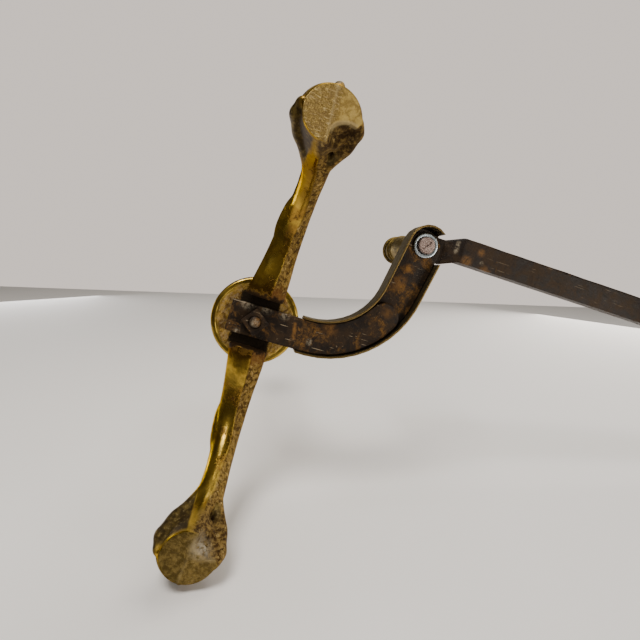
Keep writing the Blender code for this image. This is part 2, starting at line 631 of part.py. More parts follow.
def centre_on_footprint():
    """Moves everything so that the origin is under the middle of the whole object's box."""
    bpy.context.view_layer.update()
    graph = bpy.context.evaluated_depsgraph_get()
    shown = [o for o in bpy.data.objects if o.type == "MESH" and not o.hide_render]
    corners = [v.co for o in shown for v in o.evaluated_get(graph).data.vertices]
    low = Vector([min(c[i] for c in corners) for i in range(3)])
    high = Vector([max(c[i] for c in corners) for i in range(3)])
    frame = bpy.data.objects.new("andiron", None)
    bpy.context.scene.collection.objects.link(frame)
    frame.location = (-(low.x + high.x) / 2, -(low.y + high.y) / 2, 0)
    for obj in bpy.data.objects:
        if obj.type == "MESH":
            obj.parent = frame
    bpy.context.view_layer.update()
    print("column axis", *(round(c, 6) for c in frame.location))
    print("bolt from column", *(round(c, 6) for c in BOLT_AXIS))


def main():
    clear_scene()
    polished = material("polished_brass", (0.62, 0.43, 0.12), 0.28, 1.0)
    aged = material("aged_brass", (0.33, 0.22, 0.09), 0.5, 1.0)
    iron = material("wrought_iron", (0.09, 0.06, 0.04), 0.7, 0.6)
    zinc = material("zinc_plate", (0.62, 0.66, 0.68), 0.3, 1.0)
    worn = material("worn_steel", (0.35, 0.27, 0.23), 0.5, 0.8)
    base_disc(polished)
    make_leg("leg_right", polished, 1, RIGHT_LEG_TURN)
    make_leg("leg_left", polished, -1, 0.0)
    hub_strap(iron)
    bolt_strap(iron)
    strap_rivets(iron)
    arm_shell(aged)
    billet_bar(iron)
    tip_seat = column(polished)
    tie_rod(iron, tip_seat)
    square_nut(iron)
    log_stop_bolt(worn, zinc)
    log_stop(polished)
    centre_on_footprint()


main()
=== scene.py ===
"""The andiron as it looks: worn brass, rusty iron and a bright zinc washer, on the frame that CAD made.

Everything is in metres, in the CAD model's frame: +Z up, +Y back into the fire, +X towards the side arm.
"""

import json
import math

import bmesh
import bpy
import numpy as np
from mathutils import Matrix, Vector, noise


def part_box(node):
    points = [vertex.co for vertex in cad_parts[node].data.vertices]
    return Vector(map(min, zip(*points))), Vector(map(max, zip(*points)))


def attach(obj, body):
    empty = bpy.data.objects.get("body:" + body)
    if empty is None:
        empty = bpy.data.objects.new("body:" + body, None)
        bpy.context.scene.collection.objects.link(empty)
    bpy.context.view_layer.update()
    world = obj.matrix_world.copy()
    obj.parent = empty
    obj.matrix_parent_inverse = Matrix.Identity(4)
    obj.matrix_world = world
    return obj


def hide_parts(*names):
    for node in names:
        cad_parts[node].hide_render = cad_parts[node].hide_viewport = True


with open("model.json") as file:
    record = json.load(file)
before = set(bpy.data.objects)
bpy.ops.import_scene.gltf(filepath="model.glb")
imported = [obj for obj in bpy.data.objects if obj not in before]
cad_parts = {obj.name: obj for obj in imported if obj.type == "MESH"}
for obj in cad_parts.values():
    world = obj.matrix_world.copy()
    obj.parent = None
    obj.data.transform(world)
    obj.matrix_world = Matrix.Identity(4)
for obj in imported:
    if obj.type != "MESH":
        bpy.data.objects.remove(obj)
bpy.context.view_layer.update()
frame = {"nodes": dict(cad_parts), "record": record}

MM = 0.001


# ---------------------------------------------------------------- places, from the frame

def joint_axis(name):
    joint = next(j for j in frame["record"]["behaviour"]["joints"] if j["name"] == name)
    return Vector(joint["pos_m"])


def mount_place(name):
    mount = next(m for m in frame["record"]["mounts"] if m["name"] == name)
    return Vector(mount["pos_m"])


def low(node):
    return Vector(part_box(node)[0])


def high(node):
    return Vector(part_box(node)[1])


def middle(node):
    return (low(node) + high(node)) / 2


COLUMN = Vector((middle("tie_rod").x, middle("tie_rod").y, 0.0))
BOLT = joint_axis("bar_swivel")
DISC_UNDERSIDE = low("base_disc").z
DISC_RADIUS = (high("base_disc").x - low("base_disc").x) / 2
LEFT_FOOT = mount_place("left_foot_pad") - COLUMN
RIGHT_FOOT = mount_place("right_foot_pad") - COLUMN
ROOT_END = abs(high("leg_left").x - COLUMN.x)


# ---------------------------------------------------------------- materials

class Finish:
    """A Principled material, with one short method for each kind of node that the finishes here use."""

    def __init__(self, name):
        self.mat = bpy.data.materials.new(name)
        self.mat.use_nodes = True
        self.tree = self.mat.node_tree
        self.shader = self.tree.nodes["Principled BSDF"]
        self.place = self.tree.nodes.new("ShaderNodeTexCoord").outputs["Object"]

    def node(self, kind, inputs, **properties):
        made = self.tree.nodes.new(kind)
        for key, value in properties.items():
            setattr(made, key, value)
        for key, value in inputs.items():
            self.feed(made.inputs[key], value)
        return made

    def feed(self, socket, value):
        if isinstance(value, bpy.types.NodeSocket):
            self.tree.links.new(value, socket)
        elif isinstance(value, tuple) and len(value) == 3 and socket.type == "RGBA":
            socket.default_value = (*value, 1.0)
        else:
            socket.default_value = value

    def math(self, operation, *values):
        return self.node("ShaderNodeMath", dict(enumerate(values)), operation=operation).outputs[0]

    def times(self, a, b):
        return self.math("MULTIPLY", a, b)

    def plus(self, a, b):
        return self.math("ADD", a, b)

    def most(self, a, b):
        return self.math("MAXIMUM", a, b)

    def vector(self, operation, a, *others):
        return self.node("ShaderNodeVectorMath", dict(enumerate((a, *others))), operation=operation).outputs

    def distance(self, point):
        return self.vector("DISTANCE", self.place, tuple(point))["Value"]

    def mapped(self, stretch=(1, 1, 1), turn=(0, 0, 0)):
        made = self.node("ShaderNodeMapping", {"Vector": self.place, "Scale": stretch, "Rotation": turn})
        return made.outputs[0]

    def noise(self, size, detail=5.0, rough=0.6, twist=0.0, place=None):
        """Noise with features of about this size, in metres."""
        made = self.node("ShaderNodeTexNoise", {"Vector": place or self.place, "Scale": 1 / size,
                                                "Detail": detail, "Roughness": rough, "Distortion": twist})
        return made.outputs["Fac"]

    def step(self, value, start, end):
        """0 below start, 1 above end, and smooth between them. With end under start it falls instead."""
        made = self.node("ShaderNodeMapRange", {"Value": value, "From Min": min(start, end),
                                                "From Max": max(start, end), "To Min": float(start > end),
                                                "To Max": float(start < end)}, interpolation_type="SMOOTHSTEP")
        return made.outputs[0]

    def patches(self, size, start, end, **options):
        """Noise of this size, 0 where it is below start and 1 where it is above end."""
        return self.step(self.noise(size, **options), start, end)

    def blend(self, share, a, b):
        made = self.node("ShaderNodeMix", {0: share, 6: a, 7: b}, data_type="RGBA")
        return made.outputs[2]

    def level(self, share, a, b):
        return self.node("ShaderNodeMix", {0: share, 2: a, 3: b}, data_type="FLOAT").outputs[0]

    def coats(self, colour, *layers):
        """The colour with each (share, colour) laid over it in turn."""
        for share, coat in layers:
            colour = self.blend(share, colour, coat)
        return colour

    def levels(self, value, *layers):
        """The value with each (share, value) laid over it in turn."""
        for share, other in layers:
            value = self.level(share, value, other)
        return value

    def painted(self, name):
        return self.node("ShaderNodeAttribute", {}, attribute_name=name).outputs["Fac"]

    def crevice(self, distance, start, end):
        """1 in a crevice and 0 in the open, from ambient occlusion. The finishes darken by it, which paints shade
        into their crevices.
        """
        made = self.node("ShaderNodeAmbientOcclusion", {"Distance": distance}, samples=8)
        return self.step(made.outputs["AO"], start, end)

    def near(self, point, radius):
        """1 at a point, falling to 0 at this radius."""
        return self.step(self.distance(point), radius, 0.0)

    def along(self, axis, place=None):
        return self.node("ShaderNodeSeparateXYZ", {0: place or self.place}).outputs[axis]

    def bumps(self, *layers):
        """Each layer is (height from 0 to 1, depth in metres). They add up."""
        normal = None
        for height, depth in layers:
            inputs = {"Height": height, "Distance": depth, "Strength": 1.0}
            if normal:
                inputs["Normal"] = normal
            normal = self.node("ShaderNodeBump", inputs).outputs[0]
        self.feed(self.shader.inputs["Normal"], normal)

    def reflect(self, level, tint=(1, 1, 1)):
        self.feed(self.shader.inputs["Specular IOR Level"], level)
        self.feed(self.shader.inputs["Specular Tint"], tint)

    def finish(self, colour, roughness, metallic):
        self.feed(self.shader.inputs["Base Color"], colour)
        self.feed(self.shader.inputs["Roughness"], roughness)
        self.feed(self.shader.inputs["Metallic"], metallic)
        return self.mat


GOLD = (0.60, 0.385, 0.050)
OLIVE = (0.22, 0.145, 0.024)
BROWN = (0.10, 0.052, 0.018)
# Near black, for soot and also for painted shade in crevices and painted shadow beside the strap.
SOOT_AND_SHADE = (0.010, 0.007, 0.005)
ASH = (0.40, 0.30, 0.16)
RUST = (0.23, 0.105, 0.022)
DARK_IRON = (0.012, 0.0075, 0.005)
WARM_IRON = (0.029, 0.016, 0.007)
EDGE_TINT = (0.62, 0.49, 0.25)
LEG_SHARES = ("tarnish", "sole", "rub", "cast", "bite", "lip")
BAR_DEPTH = 16.5 * MM
FLOOR_GAP = 0.2 * MM


def polished_brass(name, bright=GOLD, dim=OLIVE, tarnish=0.35, rough=0.20):
    """Handled brass: bright where it is rubbed, dim and brown where it has gone dull, black in the corners with soot
    and painted shade.
    """
    f = Finish(name)
    cloud = f.noise(0.020, detail=6, rough=0.62, twist=0.4)
    dull = f.step(cloud, 0.66 - 0.35 * tarnish, 0.80 - 0.25 * tarnish)
    fleck = f.patches(0.0045, 0.60, 0.70, detail=6, rough=0.7, twist=0.6)
    stain = f.times(fleck, f.patches(0.028, 0.45, 0.62, detail=3))
    # Painted shade, with soot: near black where the crevice mask finds corners.
    dirt_and_shade = f.crevice(0.007, 0.62, 0.30)
    colour = f.coats(bright, (dull, dim), (stain, BROWN), (dirt_and_shade, SOOT_AND_SHADE))
    rough = f.levels(rough, (dull, rough + 0.16), (stain, 0.55), (dirt_and_shade, 0.85))
    f.bumps((f.noise(0.009, detail=3), 0.00025), (f.noise(0.0012, detail=3), 0.00003))
    return f.finish(colour, rough, f.level(dirt_and_shade, 1.0, 0.2))


def tarnished(f, left):
    """Dark brass with pale dust in its pores, more of it on the left foot, and the dust's share."""
    dusty = f.times(f.patches(0.0025, 0.56, 0.70, detail=6, rough=0.75), f.level(left, 0.30, 0.65))
    dark = f.blend(f.patches(0.005, 0.42, 0.68, detail=6, rough=0.65), (0.026, 0.017, 0.006), (0.120, 0.082, 0.022))
    return f.blend(dusty, dark, (0.26, 0.21, 0.12)), dusty


def scoured(f, left, rub, grit, streaks):
    """The sole: gritty gold on the right foot and cloudy brown on the left, smoother where it is rubbed."""
    dirty = f.patches(0.006, 0.42, 0.64, detail=6, rough=0.7, twist=0.5)
    smear = f.blend(f.patches(0.005, 0.40, 0.62, detail=6, rough=0.66, twist=0.5),
                    (0.47, 0.335, 0.100), (0.235, 0.155, 0.045))
    brown = f.blend(f.patches(0.004, 0.40, 0.64, detail=7, rough=0.72, twist=0.4),
                    (0.050, 0.034, 0.009), (0.175, 0.122, 0.038))
    ground = f.blend(f.step(grit, 0.40, 0.68), (0.15, 0.095, 0.028), (0.44, 0.31, 0.095))
    return f.coats(ground,
                   (f.times(f.step(streaks, 0.52, 0.68), 0.5), (0.70, 0.55, 0.26)),
                   (f.times(dirty, 0.5), (0.17, 0.11, 0.045)),
                   (f.times(rub, f.level(left, 0.85, 0.35)), smear),
                   (f.times(left, f.level(rub, 0.90, 0.75)), brown))


def raw_casting(f, lumps):
    """Brass as it left the sand: pitted brown and gold-brown, black in patches."""
    return f.coats(f.blend(f.step(lumps, 0.42, 0.58), (0.042, 0.021, 0.007), (0.250, 0.160, 0.048)),
                   (f.patches(0.0060, 0.54, 0.64, detail=6, rough=0.72, twist=0.6), (0.020, 0.010, 0.006)),
                   (f.patches(0.0045, 0.55, 0.68, detail=6, rough=0.75), (0.50, 0.355, 0.135)))


def leg_brass(name):
    """As polished brass, with six painted shares: tarnish on the toes and webs, sole where the foot is rough and
    flat, rub where the sole is worn smooth, cast where the casting was never filed, bite in its hollow, and a
    painted highlight along the hollow's edge, which also lays a paler tone on the sole's parting line."""
    f = Finish(name)
    tarnish, sole, rub, cast, bite, lip = (f.painted(share) for share in LEG_SHARES)
    left = f.step(f.along("X"), 0.0, -0.01)
    dull = f.patches(0.024, 0.40, 0.60, detail=6, rough=0.60, twist=0.6)
    burnt = f.patches(0.020, 0.50, 0.62, detail=4, rough=0.6, twist=0.4)
    stain = f.times(f.patches(0.0035, 0.54, 0.64, detail=7, rough=0.72, twist=0.8), burnt)
    # Scorched at the right ankle, a pale grey-white spot on the left sole, crusted with rust near the roots, and near
    # black at the roots' ends, which is painted shade with some soot.
    ankle = COLUMN + Vector((RIGHT_FOOT.x * 0.81, RIGHT_FOOT.y * 0.81, DISC_UNDERSIDE * 0.42))
    scorch = f.times(f.near(ankle, 0.056), f.patches(0.010, 0.16, 0.46, detail=5, twist=0.4))
    aged, dusty = tarnished(f, left)
    grit = f.noise(0.0008, detail=4, rough=0.7)
    streaks = f.noise(0.0012, detail=4, rough=0.65, place=f.mapped((1, 0.25, 1), (0, 0, 0.7)))
    lumps = f.noise(0.0030, detail=6, rough=0.72, twist=0.3)
    deep = f.level(f.patches(0.007, 0.40, 0.60, detail=4, twist=0.4), 0.30, 0.85)
    # A pale grey-white spot painted on the left sole.
    spot = COLUMN + Vector((-LEFT_FOOT.length + 0.0065, LEFT_FOOT.y + 0.006, 0.003))
    pale_spot = f.times(f.near(spot, 0.0125), f.patches(0.004, 0.34, 0.56, detail=5, rough=0.6))
    root = f.plus(f.distance((*COLUMN.xy, DISC_UNDERSIDE)), f.times(f.noise(0.006, detail=5, rough=0.7), 0.016))
    # Painted shade, with soot: near black in the crevices and at the roots' ends beside the strap under the disc.
    dirt_and_shade = f.most(f.crevice(0.006, 0.58, 0.28), f.step(root, 0.0400, 0.0360))
    colour = f.coats(f.blend(dull, GOLD, OLIVE),
                     (f.times(burnt, 0.55), (0.22, 0.105, 0.025)),
                     (f.times(scorch, 0.90), (0.150, 0.082, 0.014)),
                     (stain, BROWN),
                     (tarnish, aged),
                     (sole, scoured(f, left, rub, grit, streaks)),
                     (cast, raw_casting(f, lumps)),
                     (f.times(bite, f.times(deep, f.level(left, 1.0, 0.5))), (0.028, 0.015, 0.006)),
                     (f.times(pale_spot, 0.8), (0.42, 0.37, 0.27)),
                     # Painted highlight: pale grey-olive along the hollow's edge, and a paler tone on the sole's
                     # parting line.
                     (f.times(lip, f.level(left, 0.6, 0.25)), (0.40, 0.31, 0.15)),
                     (f.times(f.step(root, 0.0500, 0.0400), 0.8), (0.115, 0.048, 0.014)),
                     (dirt_and_shade, (0.016, 0.008, 0.004)))
    gritty = f.level(f.step(grit, 0.4, 0.7), 0.58, 0.34)
    rough = f.levels(f.level(dull, 0.15, 0.28), (stain, 0.5), (tarnish, f.level(dusty, 0.46, 0.65)), (sole, gritty),
                     (cast, 0.56), (bite, 0.75), (dirt_and_shade, 0.8))
    metal = f.levels(1.0, (tarnish, 0.40), (cast, 0.7), (f.most(pale_spot, f.times(bite, 0.5)), 0.1), (dirt_and_shade, 0.2))
    pitted = f.times(lumps, f.level(cast, 0.03, 1.0))
    grained = f.times(f.plus(grit, streaks), f.level(sole, 0.02, 0.5))
    f.bumps((f.noise(0.012, detail=2), 0.0003), (pitted, 0.0012), (grained, 0.0006), (stain, -0.00006))
    f.reflect(0.22, EDGE_TINT)
    return f.finish(colour, rough, metal)


def aged_brass(name):
    """The arm's casing: grey-olive brass, rubbed to gold-brown on its thin rim."""
    f = Finish(name)
    blotch = f.patches(0.012, 0.40, 0.64, detail=6, rough=0.65, twist=0.4)
    smear = f.patches(0.004, 0.56, 0.68, detail=5, rough=0.7, place=f.mapped((1, 1, 0.35)))
    rim = f.step(f.along("Z"), low("arm_shell").z + 0.0013, low("arm_shell").z + 0.0003)
    # Painted shade: the casing goes near black where the crevice mask finds corners.
    dirt_and_shade = f.crevice(0.010, 0.52, 0.20)
    colour = f.coats((0.100, 0.076, 0.038), (blotch, (0.165, 0.128, 0.066)), (smear, (0.055, 0.036, 0.018)),
                     (rim, (0.135, 0.090, 0.030)), (dirt_and_shade, (0.022, 0.014, 0.008)))
    f.bumps((f.noise(0.006, detail=3), 0.00018), (f.noise(0.0011, detail=4, rough=0.7), 0.00006))
    return f.finish(colour, f.levels(0.52, (blotch, 0.40), (rim, 0.42)), f.level(dirt_and_shade, 0.9, 0.2))


def iron(name, rust=0.5, pale=0.5, spots=(), wear_and_highlight=()):
    """Forged iron, black and brown with age. rust and pale are how much of it is rusty or scuffed. spots and wear
    are (place, radius) of the patches where the rust is bright and where the iron turns pale: scale that has been
    rubbed pale, and on the bar also a painted highlight along its crease."""
    f = Finish(name)
    cloud = f.noise(0.014, detail=7, rough=0.66, twist=0.6)
    blotch = f.patches(0.013, 0.62 - 0.16 * rust, 0.74 - 0.12 * rust, detail=6, rough=0.66, twist=0.7)
    patch = f.times(f.patches(0.0035, 0.36, 0.66, detail=6, rough=0.72, twist=0.8), blotch)
    colour = f.coats(DARK_IRON, (f.step(cloud, 0.40, 0.62), WARM_IRON), (patch, (0.165, 0.080, 0.018)))
    for place, radius in spots:
        wave = f.times(f.near(place, radius), f.patches(0.0035, 0.30, 0.56, detail=6, rough=0.7))
        colour = f.blend(f.times(wave, 0.62), colour, RUST)
    soot = f.patches(0.009, 0.54, 0.66, detail=6, rough=0.7, twist=0.9)
    speck = f.patches(0.0020, 0.60, 0.70, detail=6, rough=0.75)
    dusty = f.times(speck, f.patches(0.015, 0.46, 0.60, detail=4, rough=0.6, twist=0.3))
    colour = f.coats(colour, (f.times(soot, 0.85), SOOT_AND_SHADE), (f.times(dusty, pale), (0.33, 0.26, 0.17)))
    # Pale patches: rubbed scale, and on the bar a painted highlight along its crease.
    for place, radius in wear_and_highlight:
        rubbed = f.times(f.near(place, radius), f.patches(0.0025, 0.40, 0.62, detail=6, rough=0.75))
        colour = f.blend(f.times(rubbed, 0.8), colour, (0.36, 0.30, 0.21))
    for turn, length in ((0.5, 0.05), (-0.9, 0.03), (1.9, 0.04)):
        line = f.patches(0.0011, 0.72, 0.76, detail=1, place=f.mapped((1, length, 1), (0, 0, turn)))
        line = f.times(line, f.patches(0.013, 0.5, 0.58, detail=1, place=f.mapped(turn=(0, 0, turn))))
        colour = f.blend(f.times(line, pale), colour, (0.40, 0.31, 0.20))
    # Painted shade, with soot: black in the crevices, round the nut and where the iron meets other parts.
    dirt_and_shade = f.crevice(0.010, 0.60, 0.28)
    scaly = f.level(f.step(cloud, 0.3, 0.7), 0.42, 0.60)
    f.bumps((f.noise(0.011, detail=4), 0.0006), (f.noise(0.0018, detail=5, rough=0.7), 0.00022),
            (patch, 0.00015), (dusty, 0.0001))
    f.reflect(0.16)
    return f.finish(f.blend(dirt_and_shade, colour, SOOT_AND_SHADE), f.levels(scaly, (patch, 0.80), (dirt_and_shade, 0.95)), 0.0)


def disc_brass(name):
    """The disc: a rubbed gold rim, and ash, soot and old grime stuck to the flat underside, with painted shadow
    beside the strap and painted shade in the crevices.
    """
    f = Finish(name)
    offset = f.vector("SUBTRACT", f.place, tuple(COLUMN))[0]
    radius = f.vector("LENGTH", f.vector("MULTIPLY", offset, (1, 1, 0))[0])["Value"]
    edge = f.plus(radius, f.times(f.noise(0.007, detail=4), 0.006))
    under = f.step(f.along("Z"), DISC_UNDERSIDE + 0.0012, DISC_UNDERSIDE + 0.0007)
    inside = f.times(f.step(edge, DISC_RADIUS - 0.0002, DISC_RADIUS - 0.0035), under)
    white = f.patches(0.0040, 0.47, 0.60, detail=7, rough=0.78, twist=0.5)
    rusty = f.patches(0.010, 0.54, 0.66, detail=5, rough=0.7, twist=0.5)
    grime = f.blend(f.patches(0.007, 0.42, 0.60, detail=7, rough=0.7, twist=0.8),
                    (0.33, 0.205, 0.045), (0.095, 0.048, 0.012))
    grime = f.coats(grime, (f.times(white, 0.45), ASH), (f.times(rusty, 0.6), (0.17, 0.060, 0.018)))
    # A black painted shadow on each side of the strap, between it and a leg's root.
    across, sideways = (f.math("ABSOLUTE", f.along(axis, offset)) for axis in "XY")
    ragged = f.plus(across, f.times(f.noise(0.0045, detail=6, rough=0.75), 0.010))
    frayed = f.plus(sideways, f.times(f.noise(0.003, detail=5, rough=0.7), 0.006))
    slot_shadow = f.times(f.step(ragged, 0.0165, 0.0180), f.step(ragged, 0.0282, 0.0262))
    slot_shadow = f.times(f.times(slot_shadow, f.step(frayed, 0.0205, 0.0180)), under)
    stain = f.patches(0.004, 0.60, 0.70, detail=6, rough=0.7, twist=0.6)
    # Painted shade: near black in the crevices and in the painted shadow beside the strap.
    dirt_and_shade = f.most(f.crevice(0.009, 0.58, 0.26), slot_shadow)
    colour = f.coats((0.52, 0.35, 0.06), (f.patches(0.018, 0.38, 0.62, detail=6, twist=0.4), (0.22, 0.145, 0.03)),
                     (inside, grime), (slot_shadow, SOOT_AND_SHADE), (f.times(stain, 0.7), BROWN), (dirt_and_shade, SOOT_AND_SHADE))
    crust = f.times(f.noise(0.0025, detail=6, rough=0.7), inside)
    f.bumps((crust, 0.0009), (f.noise(0.01, detail=3), 0.0002))
    f.reflect(0.2, EDGE_TINT)
    return f.finish(colour, f.levels(0.28, (inside, 0.56), (dirt_and_shade, 0.9)), f.levels(1.0, (inside, 0.65), (dirt_and_shade, 0.0)))


def zinc(name):
    f = Finish(name)
    cloud = f.noise(0.004, detail=5, rough=0.6)
    # Painted shade: dark grey in the washer's crevices, where it meets the parts beside it.
    colour = f.coats((0.50, 0.575, 0.625), (f.step(cloud, 0.38, 0.66), (0.29, 0.33, 0.355)),
                     (f.crevice(0.003, 0.60, 0.25), (0.05, 0.045, 0.04)))
    f.bumps((f.noise(0.0012, detail=3), 0.00004))
    return f.finish(colour, f.level(f.step(cloud, 0.3, 0.7), 0.20, 0.38), 1.0)


def worn_steel(name):
    """The bolt's end: a pinkish brown flat, scored every way by a screwdriver."""
    f = Finish(name)
    mottle = f.patches(0.0022, 0.40, 0.62, detail=5, rough=0.7)
    score = 0.0
    for turn in (0.65, -0.35, 1.4):
        score = f.most(score, f.patches(0.00045, 0.60, 0.70, detail=2, place=f.mapped((1, 0.06, 1), (0, 0, turn))))
    # Painted shade: near black in the crevices round the bolt's end.
    colour = f.coats((0.19, 0.135, 0.115), (mottle, (0.33, 0.245, 0.215)), (f.times(score, 0.6), (0.46, 0.37, 0.33)),
                     (f.crevice(0.0016, 0.70, 0.35), (0.03, 0.02, 0.016)))
    f.bumps((score, -0.00010), (f.noise(0.0012, detail=4), 0.00006))
    return f.finish(colour, 0.46, 0.75)


# ---------------------------------------------------------------- mesh tools

def linked(name, data):
    obj = bpy.data.objects.new(name, data)
    bpy.context.scene.collection.objects.link(obj)
    return obj


def add_object(name, mesh, finish, body, nodes):
    obj = linked(name, mesh)
    mesh.materials.clear()
    mesh.materials.append(finish)
    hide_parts(*nodes)
    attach(obj, body)


def smooth(mesh, degrees=40):
    mesh.shade_smooth()
    mesh.set_sharp_from_angle(angle=math.radians(degrees))
    return mesh


def mesh_of(bm, outward=True):
    """The finished mesh. Its faces are turned to look outward, unless they already look the right way."""
    if outward:
        bmesh.ops.recalc_face_normals(bm, faces=bm.faces)
    mesh = bpy.data.meshes.new("shape")
    bm.to_mesh(mesh)
    bm.free()
    return mesh


def applied(mesh, modifiers):
    """The mesh with these modifiers applied. Each is (kind, settings)."""
    obj = linked("working", mesh)
    for kind, settings in modifiers:
        mod = obj.modifiers.new(kind.lower(), kind)
        for key, value in settings.items():
            setattr(mod, key, value)
    graph = bpy.context.evaluated_depsgraph_get()
    made = bpy.data.meshes.new_from_object(obj.evaluated_get(graph))
    bpy.data.objects.remove(obj)
    return made


def spun(profile, centre, segments=96):
    """A mesh turned about a vertical axis, from (radius, height) pairs. Ends off the axis are joined up."""
    bm = bmesh.new()
    closed = profile[0][0] > 1e-6 and profile[-1][0] > 1e-6
    rings = []
    for radius, height in profile:
        if radius < 1e-6:
            rings.append([bm.verts.new((centre.x, centre.y, height))] * segments)
            continue
        angles = [math.tau * i / segments for i in range(segments)]
        rings.append([bm.verts.new((centre.x + radius * math.cos(a), centre.y + radius * math.sin(a), height))
                      for a in angles])
    pairs = list(zip(rings, rings[1:])) + ([(rings[-1], rings[0])] if closed else [])
    for first, second in pairs:
        for i in range(segments):
            j = (i + 1) % segments
            corners = list(dict.fromkeys((first[i], first[j], second[j], second[i])))
            if len(corners) > 2:
                bm.faces.new(corners)
    return mesh_of(bm)


def moulding(node, bore, start, moves):
    """A turned profile in shares of a CAD node's radius and height. Each move goes to a new (radius, height),
    and its bulge is how far the line swells out (or, under 0, hollows in) as a share of the line's length."""
    radius = (high(node).x - low(node).x) / 2
    base, height = low(node).z, high(node).z - low(node).z
    points = [Vector((start[0] * radius, start[1] * height))]
    for r, h, bulge in moves:
        a, b = points[-1], Vector((r * radius, h * height))
        out = Vector((b.y - a.y, a.x - b.x))
        count = 1 if bulge == 0 else 8
        points += [a.lerp(b, i / count) + out * (4 * bulge * (i / count) * (1 - i / count))
                   for i in range(1, count + 1)]
    points = softened(points, 0.35 * MM)
    profile = [(max(p.x, 0.0), base + p.y) for p in points]
    if bore:
        profile = [(bore, profile[0][1])] + profile + [(bore, profile[-1][1])]
    return profile


def softened(points, radius):
    """The corners of an open line, rounded."""
    out = [points[0]]
    for before, here, after in zip(points, points[1:], points[2:]):
        back, on = before - here, after - here
        if back.length < 1e-7 or on.length < 1e-7 or back.angle(on) > math.radians(160):
            out.append(here)
            continue
        reach = min(radius, 0.4 * back.length, 0.4 * on.length)
        a, b = here + back.normalized() * reach, here + on.normalized() * reach
        out += [a, a.lerp(here, 0.5).lerp(here.lerp(b, 0.5), 0.5), b]
    return out + [points[-1]]


def loft(sections):
    """A closed mesh through closed sections with equal numbers of points."""
    bm = bmesh.new()
    rings = [[bm.verts.new(p) for p in section] for section in sections]
    for first, second in zip(rings, rings[1:]):
        for i in range(len(first)):
            j = (i + 1) % len(first)
            bm.faces.new((first[i], first[j], second[j], second[i]))
    bm.faces.new(rings[0])
    bm.faces.new(rings[-1])
    return mesh_of(bm)


def joined(meshes):
    bm = bmesh.new()
    for mesh in meshes:
        bm.from_mesh(mesh)
    return mesh_of(bm, outward=False)


def curve_through(rows, steps):
    """Catmull-Rom through the rows of a table."""
    rows = [np.array(r, float) for r in rows]
    padded = [2 * rows[0] - rows[1], *rows, 2 * rows[-1] - rows[-2]]
    out = []
    for a, b, c, d in zip(padded, padded[1:], padded[2:], padded[3:]):
        for i in range(steps):
            t = i / steps
            out.append(0.5 * (2 * b + (c - a) * t + (2 * a - 5 * b + 4 * c - d) * t**2
                              + (3 * b - a - 3 * c + d) * t**3))
    return out + [rows[-1]]


def of_vertices(mesh, name):
    """One row for each vertex, of its "co" or its "normal"."""
    values = np.empty(len(mesh.vertices) * 3)
    mesh.vertices.foreach_get(name, values)
    return values.reshape(-1, 3)


def set_coordinates(mesh, points):
    mesh.vertices.foreach_set("co", points.ravel())
    mesh.update()


def paint(mesh, name, values):
    layer = mesh.attributes.new(name, "FLOAT", "POINT")
    layer.data.foreach_set("value", np.clip(values, 0, 1).astype(np.float32))


def ramp(values, start, end):
    """0 at start and 1 at end, and smooth between them."""
    share = np.clip((values - start) / (end - start), 0, 1)
    return share * share * (3 - 2 * share)


def band(values, rise, top, edge, fall):
    """1 from top to edge, and 0 before rise and after fall."""
    return ramp(values, rise, top) * ramp(values, fall, edge)


def eased(mesh, points, share, rounds):
    """The mesh's points, drawn towards their neighbours where the share is near 1, so that creases fill in."""
    ends = np.empty(len(mesh.edges) * 2, np.int64)
    mesh.edges.foreach_get("vertices", ends)
    a, b = ends.reshape(-1, 2).T
    count = len(points)
    neighbours = np.bincount(a, minlength=count) + np.bincount(b, minlength=count)
    for _ in range(rounds):
        total = [np.bincount(a, points[b, k], count) + np.bincount(b, points[a, k], count) for k in range(3)]
        middles = np.array(total).T / neighbours[:, None]
        points = points + (middles - points) * (0.5 * share)[:, None]
    return points


def roughened(mesh, size, depth, seed=0.0):
    """Moves each point along its normal by noise, so that a flat forged or cast face isn't quite flat."""
    points = of_vertices(mesh, "co")
    shift = np.array([noise.noise(Vector(p) / size + Vector((seed, seed, seed))) for p in points])
    set_coordinates(mesh, points + of_vertices(mesh, "normal") * (shift * depth)[:, None])
    return mesh


def forged(nodes, grain, rounds, size=0.012, depth=0.00012):
    """The CAD nodes' own shape with its edges worn round and its faces slightly uneven."""
    source = joined([frame["nodes"][node].data for node in nodes])
    mesh = applied(source, [("REMESH", {"mode": "VOXEL", "voxel_size": grain}),
                            ("SMOOTH", {"factor": 0.5, "iterations": rounds})])
    roughened(mesh, size, depth, seed=len(nodes[0]))
    return smooth(mesh, 180)


# ---------------------------------------------------------------- legs

BALL_RADIUS = 21.6 * MM
BALL_HEIGHT = 12.6 * MM  # of the ball's middle over the floor
BALL_CENTRE = Vector((LEFT_FOOT.length, 0, BALL_HEIGHT))
FOOT_Y = LEFT_FOOT.y
DISC_GAP = 0.3 * MM  # between the disc and a leg
SOLE_RISE = 1.8  # of the worn rear of the sole, in mm
LONGER = 0.015  # the left casting over the shape here, and the right one under it
ASKEW = math.radians(0.9)


